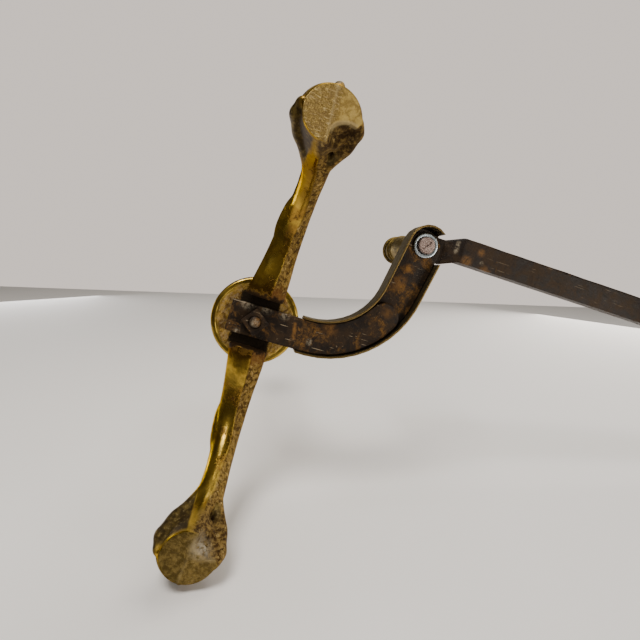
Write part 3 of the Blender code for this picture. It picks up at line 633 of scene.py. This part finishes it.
def leg_sections():
    """The leg from its root to the ankle and into the ball, as sections across it."""
    reach = BALL_CENTRE.x - ROOT_END
    fall = DISC_UNDERSIDE - BALL_CENTRE.z
    # share of the reach, y in mm, share of the fall, half width and half thickness in mm
    rows = [
        (0.000, 0.5, 0.105, 14.8, 9.3),
        (0.137, 2.0, 0.098, 13.4, 8.9),
        (0.292, 3.2, 0.080, 11.7, 8.4),
        (0.451, 4.2, 0.101, 10.6, 8.9),
        (0.594, 5.6, 0.201, 9.9, 9.3),
        (0.698, 6.0, 0.358, 9.3, 8.8),
        (0.769, 6.0, 0.515, 9.5, 8.0),
        (0.833, 5.3, 0.649, 9.8, 7.6),
        (0.905, 3.6, 0.749, 9.4, 7.6),
        (0.968, 2.0, 0.839, 9.0, 7.6),
    ]
    rows = curve_through(rows, 7)
    # The sharp ridge between the polished face and the rough back moves from the middle out to the rear edge.
    inner = [(-0.62, -0.70), (-0.18, -0.92), (0.20, -1.0), (0.29, -1.0), (0.36, -0.94), (0.75, -0.46), (1.10, 0.10),
             (1.08, 0.48), (0.62, 0.90), (0.0, 1.0), (-0.60, 0.93), (-0.95, 0.66), (-1.05, 0.18), (-0.92, -0.30)]
    outer = [(-0.62, -0.76), (-0.22, -0.98), (0.24, -0.98), (0.55, -0.84), (0.80, -0.58), (0.96, -0.26), (1.06, 0.10),
             (1.06, 0.48), (0.62, 0.90), (0.0, 1.0), (-0.60, 0.93), (-0.95, 0.66), (-1.05, 0.18), (-0.92, -0.30)]
    inner, outer = (np.array(curve_through([*line, line[0]], 3)[:-1]) for line in (inner, outer))
    sections = []
    for i, row in enumerate(rows):
        x, y, z, width, thick = (float(v) for v in row)
        before, after = rows[max(i - 1, 0)], rows[min(i + 1, len(rows) - 1)]
        along = Vector(((after[0] - before[0]) * reach, 0, -(after[2] - before[2]) * fall)).normalized()
        if i == 0:
            along = Vector((1, 0, 0))
        out = Vector((-along.z, 0, along.x))
        centre = Vector((ROOT_END + x * reach, y * MM, DISC_UNDERSIDE - z * fall))
        share = float(ramp(x, 0.42, 0.66))
        closed = (inner * (1 - share) + outer * share).tolist()
        sections.append([centre + out * (thick * v * MM) + Vector((0, width * u * MM, 0)) for u, v in closed])
    return sections


def from_foot(x, y, z):
    """A point in mm from the middle of the ball's sole."""
    return Vector((BALL_CENTRE.x + float(x) * MM, FOOT_Y + float(y) * MM, float(z) * MM))


def tube(rows, sides=14, steps=4):
    """A bent bar through rows of (x, y, z, radius) in mm from the foot's middle."""
    rows = curve_through(rows, steps)
    points = [from_foot(*row[:3]) for row in rows]
    sections = []
    for i, point in enumerate(points):
        along = (points[min(i + 1, len(points) - 1)] - points[max(i - 1, 0)]).normalized()
        side = along.cross(Vector((0.3, 0.1, 1))).normalized()
        out = side.cross(along)
        radius = float(rows[i][3]) * MM
        sections.append([point + radius * (side * math.cos(t) + out * math.sin(t))
                         for t in (math.tau * k / sides for k in range(sides))])
    return loft(sections)


def outer_toe():
    """The middle toe, over the top of the ball and down its far side to the sole."""
    downs = [(-38, 4.8, 0.5), (-12, 4.6, 0.8), (12, 4.2, 0.6), (30, 3.5, 0.2), (44, 4.7, 0.4), (57, 3.4, -0.3),
             (69, 4.5, 0.1), (81, 3.2, -0.4), (92, 4.0, -0.3), (103, 2.6, -0.7), (113, 1.9, -0.8), (120, 1.2, -1.0)]
    rows = []
    for down, radius, lift in downs:
        away = BALL_RADIUS / MM + lift
        angle = math.radians(down)
        rows.append((away * math.sin(angle), 0.0, BALL_CENTRE.z / MM + away * math.cos(angle), radius))
    return tube(rows)


# Each side toe is a finger that leaves the ankle, grips the side of the ball and ends at the sole's edge.
REAR_TOE = [(-32, 4.8, 60.0, 4.6), (-25, 7.8, 48.5, 5.0), (-19, 11.0, 38.5, 4.8), (-14, 14.2, 30.5, 4.7),
            (-9.5, 17.2, 23.5, 5.1), (-5.0, 19.4, 16.0, 4.1), (-2.0, 20.0, 11.0, 4.7), (0.8, 19.4, 7.0, 3.5),
            (3.0, 17.8, 3.4, 2.8), (4.0, 16.4, 1.2, 1.6)]
FRONT_TOE = [(-32, 0.2, 60.0, 4.2), (-25, -2.2, 48.5, 4.4), (-19, -6.2, 39.5, 4.6), (-14.5, -10.4, 32.5, 4.4),
             (-10.5, -14.8, 26.0, 5.0), (-6.5, -18.4, 19.0, 4.2), (-3.5, -20.2, 13.0, 4.9), (-0.5, -20.0, 8.5, 3.6),
             (1.8, -19.2, 4.8, 3.4), (3.2, -17.6, 1.8, 2.0)]
CREST = [68.0, 56.0, 49.0, 45.0, 42.0, 39.6, 38.2, 37.2, 36.5, 36.0]


def web():
    """The skin that spreads from the ankle between the side toes, over the ball's near half."""
    sections = []
    for front, rear, top in zip(FRONT_TOE, REAR_TOE, CREST):
        upper, lower = [], []
        for k in range(15):
            t = k / 7 - 1
            near, share = (front, abs(t)) if t < 0 else (rear, t)
            y = front[1] + (rear[1] - front[1]) * (t + 1) / 2
            x = near[0] * share + (front[0] + rear[0]) / 2 * (1 - share)
            height = top - (top - near[2]) * share ** 1.7
            upper.append(from_foot(x, y, height + 2.0 - 0.6 * share))
            lower.append(from_foot(x, y, height - 2.4 + 0.8 * share))
        sections.append(upper + lower[::-1])
    return loft(sections)


def front_fold():
    """The fold of metal between the sole's edge and the front toe."""
    sections = []
    for x, y, z, _ in FRONT_TOE[1:9]:
        heading = math.atan2(y, x)
        edge = Vector((15.6 * math.cos(heading), 15.6 * math.sin(heading), 3.0))
        points = [edge.lerp(Vector((x, y, z)), k / 6) + Vector((0, 0, 2.6 * math.sin(math.pi * k / 6)))
                  for k in range(7)]
        away = Vector((math.cos(heading), math.sin(heading), 0)) * -1.1
        sections.append([from_foot(*(p + away + Vector((0, 0, 1.1)))) for p in points]
                        + [from_foot(*(p - away - Vector((0, 0, 1.1)))) for p in reversed(points)])
    return loft(sections)


def keel():
    """The ridge that carries the polished face of the leg down to the sole."""
    return tube([(-34, 3.4, 62.0, 5.4), (-26, 2.8, 49.0, 5.8), (-20, 2.2, 37.0, 5.8), (-16.4, 1.6, 25.0, 5.4),
                 (-14.4, 1.0, 13.0, 4.7), (-13.8, 0.8, 3.5, 3.8)])


def knee():
    """The swelling on the front of the knee, with its round end towards the ankle."""
    return tube([(-98, 0.5, 94.0, 3.0), (-84, -2.6, 96.5, 4.6), (-68.5, -4.9, 97.0, 5.4), (-56, -4.7, 92.0, 5.4),
                 (-47, -3.7, 84.5, 4.9), (-42, -2.8, 79.5, 3.2)])


def ball():
    bm = bmesh.new()
    bmesh.ops.create_uvsphere(bm, u_segments=64, v_segments=48, radius=BALL_RADIUS)
    for vert in bm.verts:
        # The side towards the leg is cut back to an upright wall, so that the toes' webs stand clear of it.
        radius = vert.co.xy.length
        if radius > 0:
            limit = (17.6 + 4.4 * float(ramp(vert.co.x / radius, -0.25, 0.35))) * MM
            vert.co.xy *= min(1.0, limit / radius)
    bmesh.ops.translate(bm, verts=bm.verts, vec=BALL_CENTRE + Vector((0, FOOT_Y, 0)))
    return mesh_of(bm)


def hollow():
    """What the crude casting lacks: a deep bite out of the ball's rear quarter, open to the rear toe's web. Its edge
    on the sole comes with it."""
    arc = [(-25.0, 3.6), (-17.0, 2.8), (-11.5, 2.4), (-6.2, 3.8), (-2.2, 8.2), (-0.8, 13.2), (-1.0, 17.0)]
    closed = curve_through([*arc, (-4.5, 24.0), (-15.0, 24.0), (-25.0, 14.0), arc[0]], 4)[:-1]
    middle_x, middle_y = -14.5, 13.5
    sections = []
    for height, share in ((-4, 1.0), (0, 0.99), (3, 0.95), (6, 0.86), (9, 0.73), (12, 0.55), (14, 0.35), (15, 0.12)):
        sections.append([from_foot(middle_x + (u - middle_x) * share, middle_y + (v - middle_y) * share, height)
                         for u, v in closed])
    return loft(sections), np.array(curve_through(arc[1:], 5))


def cut(mesh, cutter):
    tool = linked("cutter", cutter)
    made = applied(mesh, [("BOOLEAN", {"operation": "DIFFERENCE", "object": tool, "solver": "MANIFOLD"})])
    bpy.data.objects.remove(tool)
    return made


def cast_leg(bite):
    """One leg with its foot in one piece, from the column axis out along +X, with this shape cut out of it."""
    parts = [loft(leg_sections()), ball(), web(), keel(), front_fold(), knee(), tube(REAR_TOE), tube(FRONT_TOE),
             outer_toe()]
    solid = applied(joined(parts), [("REMESH", {"mode": "VOXEL", "voxel_size": 0.7 * MM})])
    return applied(cut(solid, bite), [("REMESH", {"mode": "VOXEL", "voxel_size": 0.62 * MM}),
                                      ("SMOOTH", {"factor": 0.5, "iterations": 12})])


def foot_places(points):
    """The x, y and z of these points, in mm from the middle of the foot's sole."""
    return (points / MM - np.array([BALL_CENTRE.x / MM, FOOT_Y / MM, 0])).T


def shaped_leg():
    bite, bite_edge = hollow()
    mesh = cast_leg(bite)
    points = of_vertices(mesh, "co")
    x, _, z = foot_places(points)
    points = eased(mesh, points, band(x, -66, -48, -26, -15) * ramp(z, 14, 24), 90)
    x, y, z = foot_places(points)
    under_disc = np.hypot(points[:, 0], points[:, 1]) < DISC_RADIUS + DISC_GAP
    points[under_disc, 2] = np.minimum(points[under_disc, 2], DISC_UNDERSIDE - DISC_GAP)
    pits = np.array([noise.noise(Vector((u, v, 0)) / 1.6) + noise.noise(Vector((u, v, 7)) / 5) for u, v in zip(x, y)])
    parting = np.exp(-((y + x * 0.09 - 0.3) / 0.8) ** 2)
    rear = ramp(y + x * 0.09, 1.0, 9.0)
    sole = 0.22 + pits * 0.13 - parting * 0.25 + rear * SOLE_RISE
    points[:, 2] = np.maximum(points[:, 2], np.maximum(sole, 0.0) * MM)
    set_coordinates(mesh, points)
    paint_leg(mesh, x, y, z, rear, parting, bite_edge)
    return smooth(mesh, 180)


def paint_leg(mesh, x, y, z, rear, parting, bite_edge):
    """Paints the leg's shares, from where its points were before the sole was worn flat."""
    normals = of_vertices(mesh, "normal")
    reach = np.hypot(x, y)
    # The toes and webs, the sole less the hollow's mouth, the hollow, and the crease by the front toe.
    foot = ramp(np.hypot(reach, z - BALL_HEIGHT / MM), 44, 30)
    flat = ramp(z - rear * SOLE_RISE, 0.9, 0.4) * ramp(reach, 22, 20) * ramp(np.hypot(x + 10.5, y - 12), 9.2, 9.9)
    bite = ramp(np.hypot(x + 11, y - 10.5), 17, 12) * ramp(z, 30, 20) * (1 - flat)
    fold = band(reach, 14, 16, 20.5, 22.5) * band(z, 1.4, 3.0, 24, 34) * ramp(y, -1, -6)
    fold *= ramp(normals[:, 2], 0.3, 0.0)
    # The flank that was never filed, and then the places that the tarnish leaves bright.
    behind = ramp(normals[:, 1] + 0.25 * ramp(x, -52, -34), 0.26, 0.52) * ramp(y + FOOT_Y / MM, -2, 3)
    keel_face = ramp(np.abs(y + 0.2), 6.0, 4.4) * ramp(x, -11, -15) * ramp(-normals[:, 2], -0.2, 0.2)
    rim = band(reach, 15.5, 17, 18.5, 20) * ramp(z, 2.4, 1.4) * ramp(y, 4, -2)
    worn = ramp(z, 6, 3) * ramp(reach, 22, 20) * (1 - bite) * 0.55
    # The painted highlight along the hollow's edge, by the distance of the points near the sole from that edge.
    low_down = z < 5
    from_edge = np.zeros(len(z))
    from_edge[low_down] = [np.min(np.hypot(*(bite_edge - p).T)) for p in np.array([x, y]).T[low_down]]
    lip = low_down * ramp(from_edge, 1.9, 0.7) * ramp(x + y * 0.5, -12, -5)
    shares = (foot * (1 - keel_face) * (1 - rim) * (1 - worn), flat, flat * ramp(rear, 0.05, 0.5),
              np.maximum(behind * 0.95, bite) * (1 - flat), np.maximum(bite, fold * 0.8),
              np.maximum(lip, parting * flat * 0.7))
    for name, share in zip(LEG_SHARES, shares):
        paint(mesh, name, share)


def build_legs(finish):
    """The two castings aren't quite alike: one is a little longer, and each is fixed a little askew."""
    right = shaped_leg()
    left = right.copy()
    right_turn = math.atan2(RIGHT_FOOT.y, RIGHT_FOOT.x) - math.atan2(LEFT_FOOT.y, -LEFT_FOOT.x) + ASKEW / 2
    for side, mesh, stretch, turn in (("right", right, 1 - LONGER, right_turn), ("left", left, -1 - LONGER, ASKEW)):
        place = Matrix.Translation(COLUMN) @ Matrix.Rotation(turn, 4, "Z")
        mesh.transform(place @ Matrix.Diagonal((stretch, 1, 1, 1)))
        add_object(f"leg_{side}_casting", mesh, finish, "standard", [f"leg_{side}"])
    left.flip_normals()


# ---------------------------------------------------------------- disc and column

ROD_BORE = 5.15 * MM
BOLT_BORE = 5.1 * MM


def build_turned(node, finish, bore, start, moves, axis=COLUMN, body="standard", segments=96):
    mesh = spun(moulding(node, bore, start, moves), axis, segments)
    add_object(node + "_turned", smooth(mesh, 35), finish, body, [node])


def build_disc(finish):
    moves = [(0.885, 0.030, 0), (0.905, 0.0, 0), (0.955, 0.0, 0), (1.0, 0.20, 0.18), (0.985, 0.42, 0.2),
             (0.93, 0.50, 0), (0.905, 0.62, -0.2), (0.925, 0.70, 0), (0.925, 0.80, 0.3), (0.86, 0.86, 0),
             (0.84, 1.0, -0.1)]
    build_turned("base_disc", finish, ROD_BORE, (0.60, 0.030), moves, segments=160)


def build_column(finish):
    pieces = {
        "column_collar": ((1.0, 0.0), [(1.0, 0.12, 0), (0.97, 0.34, 0.35), (0.90, 0.36, 0), (0.74, 0.78, -0.22),
                                       (0.76, 0.84, 0), (0.76, 0.94, 0.4), (0.70, 1.0, 0)]),
        "column_vase": ((0.64, 0.0), [(0.68, 0.05, 0.4), (0.58, 0.065, 0), (0.50, 0.13, -0.2), (0.56, 0.155, 0),
                                      (0.56, 0.18, 0), (1.0, 0.47, 0.17), (0.60, 0.80, 0.14), (0.46, 0.895, -0.08),
                                      (0.58, 0.91, 0), (0.63, 0.955, 0.4), (0.55, 0.975, 0), (0.55, 1.0, 0)]),
        "column_shaft": ((1.0, 0.0), [(1.0, 0.012, 0), (0.99, 0.032, 0.4), (0.90, 0.036, 0), (0.86, 0.060, -0.25),
                                      (0.86, 0.082, 0), (0.72, 0.895, 0.006), (0.72, 0.905, 0), (0.80, 0.912, 0),
                                      (0.80, 0.935, 0.45), (0.72, 0.940, 0), (0.74, 0.965, -0.2), (0.80, 0.972, 0),
                                      (0.80, 1.0, 0)]),
        "column_capital": ((0.64, 0.0), [(0.70, 0.10, 0), (0.92, 0.38, -0.2), (0.94, 0.42, 0), (0.94, 0.66, 0.42),
                                         (0.84, 0.72, 0), (0.62, 0.90, -0.2), (0.62, 1.0, 0)]),
        "finial_ball": ((0.46, 0.0), [(0.99, 0.40, 0.125), (1.0, 0.46, 0), (1.0, 0.54, 0), (0.99, 0.60, 0),
                                      (0.46, 1.0, 0.125)]),
        "finial_tip": ((0.0, 0.0), [(0.94, 0.0, 0), (0.94, 0.095, 0.45), (0.60, 0.11, 0), (0.50, 0.20, -0.2),
                                    (0.62, 0.235, 0), (1.0, 0.47, 0.12), (0.30, 0.86, 0.10), (0.17, 0.91, -0.1),
                                    (0.22, 0.95, 0.3), (0.0, 1.0, 0.3)]),
    }
    for node, (start, moves) in pieces.items():
        build_turned(node, finish, 0.0 if node == "finial_tip" else ROD_BORE, start, moves)


# ---------------------------------------------------------------- iron

def build_rod(finish):
    """The tie rod, with its thread cut as a helix at both ends."""
    radius = (high("tie_rod").x - low("tie_rod").x) / 2
    bottom, top = low("tie_rod").z, high("tie_rod").z
    pitch, depth, chamfer, threaded, segments = 1.6 * MM, 0.75 * MM, 0.9 * MM, 16 * MM, 40
    ends = np.arange(0, threaded, pitch / 7)
    sections = []
    for z in np.concatenate([bottom + ends, [bottom + threaded, top - threaded], top - ends[::-1]]):
        from_end = min(z - bottom, top - z)
        cut_in = depth if from_end < threaded else 0.0
        section = []
        for i in range(segments):
            angle = math.tau * i / segments
            phase = ((z - bottom) / pitch + i / segments) % 1.0
            r = radius - cut_in * abs(2 * phase - 1) - max(0.0, chamfer - from_end)
            section.append((COLUMN.x + r * math.cos(angle), COLUMN.y + r * math.sin(angle), z))
        sections.append(section)
    add_object("tie_rod_threaded", smooth(loft(sections), 50), finish, "standard", ["tie_rod"])


def build_iron(strap_finish, bar_finish, nut_finish):
    """The rivets are peened flush and lie under the same scale as the straps, so they are one piece with them."""
    strap_nodes = ["hub_strap", "bolt_strap", "strap_rivet_front", "strap_rivet_rear"]
    straps = forged(strap_nodes, 0.45 * MM, 4)
    add_object("straps_forged", straps, strap_finish, "standard", strap_nodes)
    nut = forged(["square_nut"], 0.3 * MM, 4)
    add_object("square_nut_forged", nut, nut_finish, "standard", ["square_nut"])
    bar = forged(["billet_bar"], 0.8 * MM, 8, size=0.02, depth=0.00025)
    add_object("billet_bar_forged", bar, bar_finish, "bar", ["billet_bar"])
    build_rod(nut_finish)


def build_shell(finish):
    mesh = forged(["arm_shell"], 0.45 * MM, 4, size=0.02, depth=0.0001)
    add_object("arm_shell_cast", mesh, finish, "standard", ["arm_shell"])


# ---------------------------------------------------------------- bolt and log stop

def build_log_stop(brass, zinc_finish, steel_finish):
    washer = moulding("log_stop_washer", BOLT_BORE, (0.66, 0.25), [(0.72, 0.10, 0), (0.80, 0.0, 0), (0.90, 0.0, 0),
                                                                   (1.0, 0.42, 0.2), (1.0, 1.0, 0)])
    add_object("log_stop_washer_plated", smooth(spun(washer, BOLT), 35), zinc_finish, "log_stop",
               ["log_stop_washer"])
    bolt = forged(["log_stop_bolt"], 0.16 * MM, 3, size=0.004, depth=0.00006)
    add_object("log_stop_bolt_worn", bolt, steel_finish, "log_stop", ["log_stop_bolt"])
    peg = 5 / 18  # the part of the cap that is inside the post, as a share of its height
    pieces = {
        "log_stop_base": ((0.96, 0.0), [(1.0, 0.06, 0), (1.0, 0.22, 0.4), (0.90, 0.30, 0), (0.72, 0.72, -0.25),
                                        (0.76, 0.80, 0), (0.76, 1.0, 0.3)]),
        "log_stop_post": ((0.70, 0.0), [(0.74, 0.05, 0.3), (0.64, 0.07, 0), (0.60, 0.14, -0.2), (0.74, 0.36, 0.02),
                                        (0.92, 0.60, 0.05), (0.98, 0.68, 0), (0.98, 0.72, 0.4), (0.90, 0.735, 0),
                                        (0.90, 0.80, 0.05), (0.98, 0.82, 0), (0.98, 0.86, 0.4), (0.91, 0.875, 0),
                                        (0.94, 1.0, 0)]),
        "log_stop_cap": ((0.0, peg), [(0.93, peg, 0), (1.0, peg + 0.05, 0.3), (1.0, peg + 0.17, 0.3),
                                      (0.92, peg + 0.20, 0), (0.90, peg + 0.26, -0.2), (0.94, peg + 0.30, 0),
                                      (0.40, 0.95, 0.16), (0.0, 1.0, 0.04)]),
    }
    for node, (start, moves) in pieces.items():
        bore = 0.0 if node == "log_stop_cap" else BOLT_BORE
        build_turned(node, brass, bore, start, moves, BOLT, "log_stop")


# ---------------------------------------------------------------- stage, lights and camera

# The camera is fitted to the outlines in the photo, and the table to the board that the andiron lies against.
VIEW_FROM = COLUMN + Vector((0.0383, -0.0093, -0.2992))
VIEW_RIGHT = Vector((0.293, 0.947, -0.132)).normalized()
VIEW_ALONG = Vector((-0.0546, 0.151, 0.988)).normalized()
TABLE_NORMAL = Vector((0.959, -0.270, -0.082)).normalized()


def make_camera():
    data = bpy.data.cameras.new("camera")
    data.sensor_width = 36
    data.lens = 27.06
    data.clip_start = 0.01
    camera = linked("camera", data)
    back = -VIEW_ALONG
    up = back.cross(VIEW_RIGHT).normalized()
    right = up.cross(back)
    camera.matrix_world = Matrix.Translation(VIEW_FROM) @ Matrix((right, up, back)).transposed().to_4x4()
    bpy.context.scene.camera = camera


def one_sided(name, colour, glow):
    """A pale matt surface that shows from its front only, with a little light of its own."""
    f = Finish(name)
    f.feed(f.shader.inputs["Emission Color"], colour)
    f.feed(f.shader.inputs["Emission Strength"], glow)
    side = f.tree.nodes.new("ShaderNodeNewGeometry").outputs["Backfacing"]
    clear = f.tree.nodes.new("ShaderNodeBsdfTransparent").outputs[0]
    mix = f.node("ShaderNodeMixShader", {0: side, 1: f.shader.outputs[0], 2: clear}).outputs[0]
    f.feed(f.tree.nodes["Material Output"].inputs["Surface"], mix)
    return f.finish(colour, 0.8, 0.0)


def stage_plane(name, centre, normal, along, length, width, colour, glow):
    """A rectangle with its length in the along direction."""
    side = normal.cross(along).normalized()
    forward = side.cross(normal)
    bm = bmesh.new()
    corners = [centre + forward * (i * length / 2) + side * (j * width / 2)
               for i, j in ((-1, -1), (1, -1), (1, 1), (-1, 1))]
    face = bm.faces.new([bm.verts.new(c) for c in corners])
    face.normal_update()
    if face.normal.dot(normal) < 0:
        face.normal_flip()
    mesh = mesh_of(bm, outward=False)
    mesh.materials.append(one_sided(name, colour, glow))
    obj = linked(name, mesh)
    obj.visible_shadow = False
    return obj


def make_stage():
    """The hearth that the andiron stands on, and the table that it lies beside in the camera's view from below."""
    hearth = stage_plane("hearth", Vector((0, 0, -FLOOR_GAP)), Vector((0, 0, 1)), Vector((0, 1, 0)), 6, 6,
                         (0.60, 0.58, 0.56), 0.8)
    hearth.visible_diffuse = False
    hearth.visible_glossy = False
    rest = COLUMN + Vector((low("leg_left").x - COLUMN.x, 0, 0)) - TABLE_NORMAL * 0.002
    ahead = (VIEW_ALONG - TABLE_NORMAL * VIEW_ALONG.dot(TABLE_NORMAL)).normalized()
    length, behind = 1.85, 0.33
    stage_plane("table", rest + ahead * (length / 2 - behind), TABLE_NORMAL, ahead, length, 3.4,
                (0.84, 0.81, 0.785), 0.05)


def area_light(name, place, aim, size, power, colour=(1, 1, 1)):
    data = bpy.data.lights.new(name, "AREA")
    data.size = size
    data.energy = power
    data.color = colour
    lamp = linked(name, data)
    lamp.location = place
    lamp.rotation_euler = (Vector(aim) - Vector(place)).to_track_quat("-Z", "Y").to_euler()


def make_lights():
    hub = COLUMN + Vector((0, 0, 0.10))
    area_light("window", hub + Vector((0.95, -0.55, -0.60)), hub, 0.50, 15.0, (1.0, 0.97, 0.92))
    area_light("room", hub + Vector((0.10, 0.85, -0.85)), hub, 0.50, 7.5, (1.0, 0.94, 0.85))
    area_light("ceiling", hub + Vector((1.30, 0.10, 0.45)), hub, 1.1, 13.0, (1.0, 0.97, 0.92))
    area_light("overhead", hub + Vector((-0.45, -0.75, 1.05)), hub, 0.9, 12.0)
    area_light("behind", hub + Vector((0.55, 0.95, 0.75)), hub, 0.8, 8.0, (1.0, 0.96, 0.90))
    world = bpy.data.worlds.new("studio")
    bpy.context.scene.world = world
    world.use_nodes = True
    tree = world.node_tree
    background = tree.nodes["Background"]
    path = tree.nodes.new("ShaderNodeLightPath").outputs["Is Camera Ray"]
    mix = tree.nodes.new("ShaderNodeMix")
    mix.data_type = "RGBA"
    mix.inputs[6].default_value = (0.122, 0.108, 0.088, 1)
    mix.inputs[7].default_value = (0.93, 0.83, 0.75, 1)
    tree.links.new(path, mix.inputs[0])
    tree.links.new(mix.outputs[2], background.inputs["Color"])


# ---------------------------------------------------------------- assembly

def main():
    make_camera()
    build_legs(leg_brass("leg_brass"))
    build_disc(disc_brass("disc_brass"))
    build_column(polished_brass("column_brass", (0.54, 0.365, 0.080), (0.25, 0.170, 0.045), 0.55, 0.24))
    hub_face, bolt_face, bar_face = low("hub_strap").z, low("bolt_strap").z, high("billet_bar").z - BAR_DEPTH

    def patch(x, y, z, radius):
        """A patch on the iron at (x, y) in mm from the column, at height z."""
        return (COLUMN + Vector((x * MM, y * MM, z)), radius * MM)

    rust = [patch(x, 33.6 - 0.2 * x, hub_face, 2.6) for x in (-5, -3, -1, 1, 3, 5, 7)]
    rust += [patch(66, 108, bolt_face, 11), patch(38, 105, bolt_face, 9), patch(90, 126, bolt_face, 7),
             patch(80, 112, bolt_face, 6), patch(12, 62, hub_face, 9)]
    worn = [patch(-4, 48, hub_face, 4), patch(14, -10, hub_face, 9), patch(14, 6, hub_face, 8),
            patch(13, 22, hub_face, 7), patch(-12, -12, hub_face, 4)]
    straps = iron("strap_iron", 0.9, 0.8, rust, worn)
    # Painted highlight: pale patches in a row along the bar's crease.
    crease = [patch(x, 147.5, bar_face + 4 * MM, 3.2) for x in (106, 108.5, 111, 113.5)]
    rusty = [patch(100.7, 157.4, bar_face, 7), patch(96, 176, bar_face, 8), patch(111, 168, bar_face, 5)]
    bar = iron("bar_iron", 0.05, 0.3, rusty, crease + [patch(103, 171, bar_face, 2.5)])
    nut_face, rod_face = low("square_nut").z, low("tie_rod").z
    nut_wear = [patch(9, 5, nut_face, 4), patch(-8, -6, nut_face, 3), patch(0, 0, rod_face, 5)]
    build_iron(straps, bar, iron("nut_iron", 0.5, 0.8, [patch(1, 1, rod_face, 5)], nut_wear))
    build_shell(aged_brass("shell_brass"))
    log_stop_brass = polished_brass("log_stop_brass", (0.155, 0.105, 0.026), (0.065, 0.045, 0.015), 0.6, 0.46)
    build_log_stop(log_stop_brass, zinc("zinc"), worn_steel("worn_steel"))
    make_stage()
    make_lights()


main()
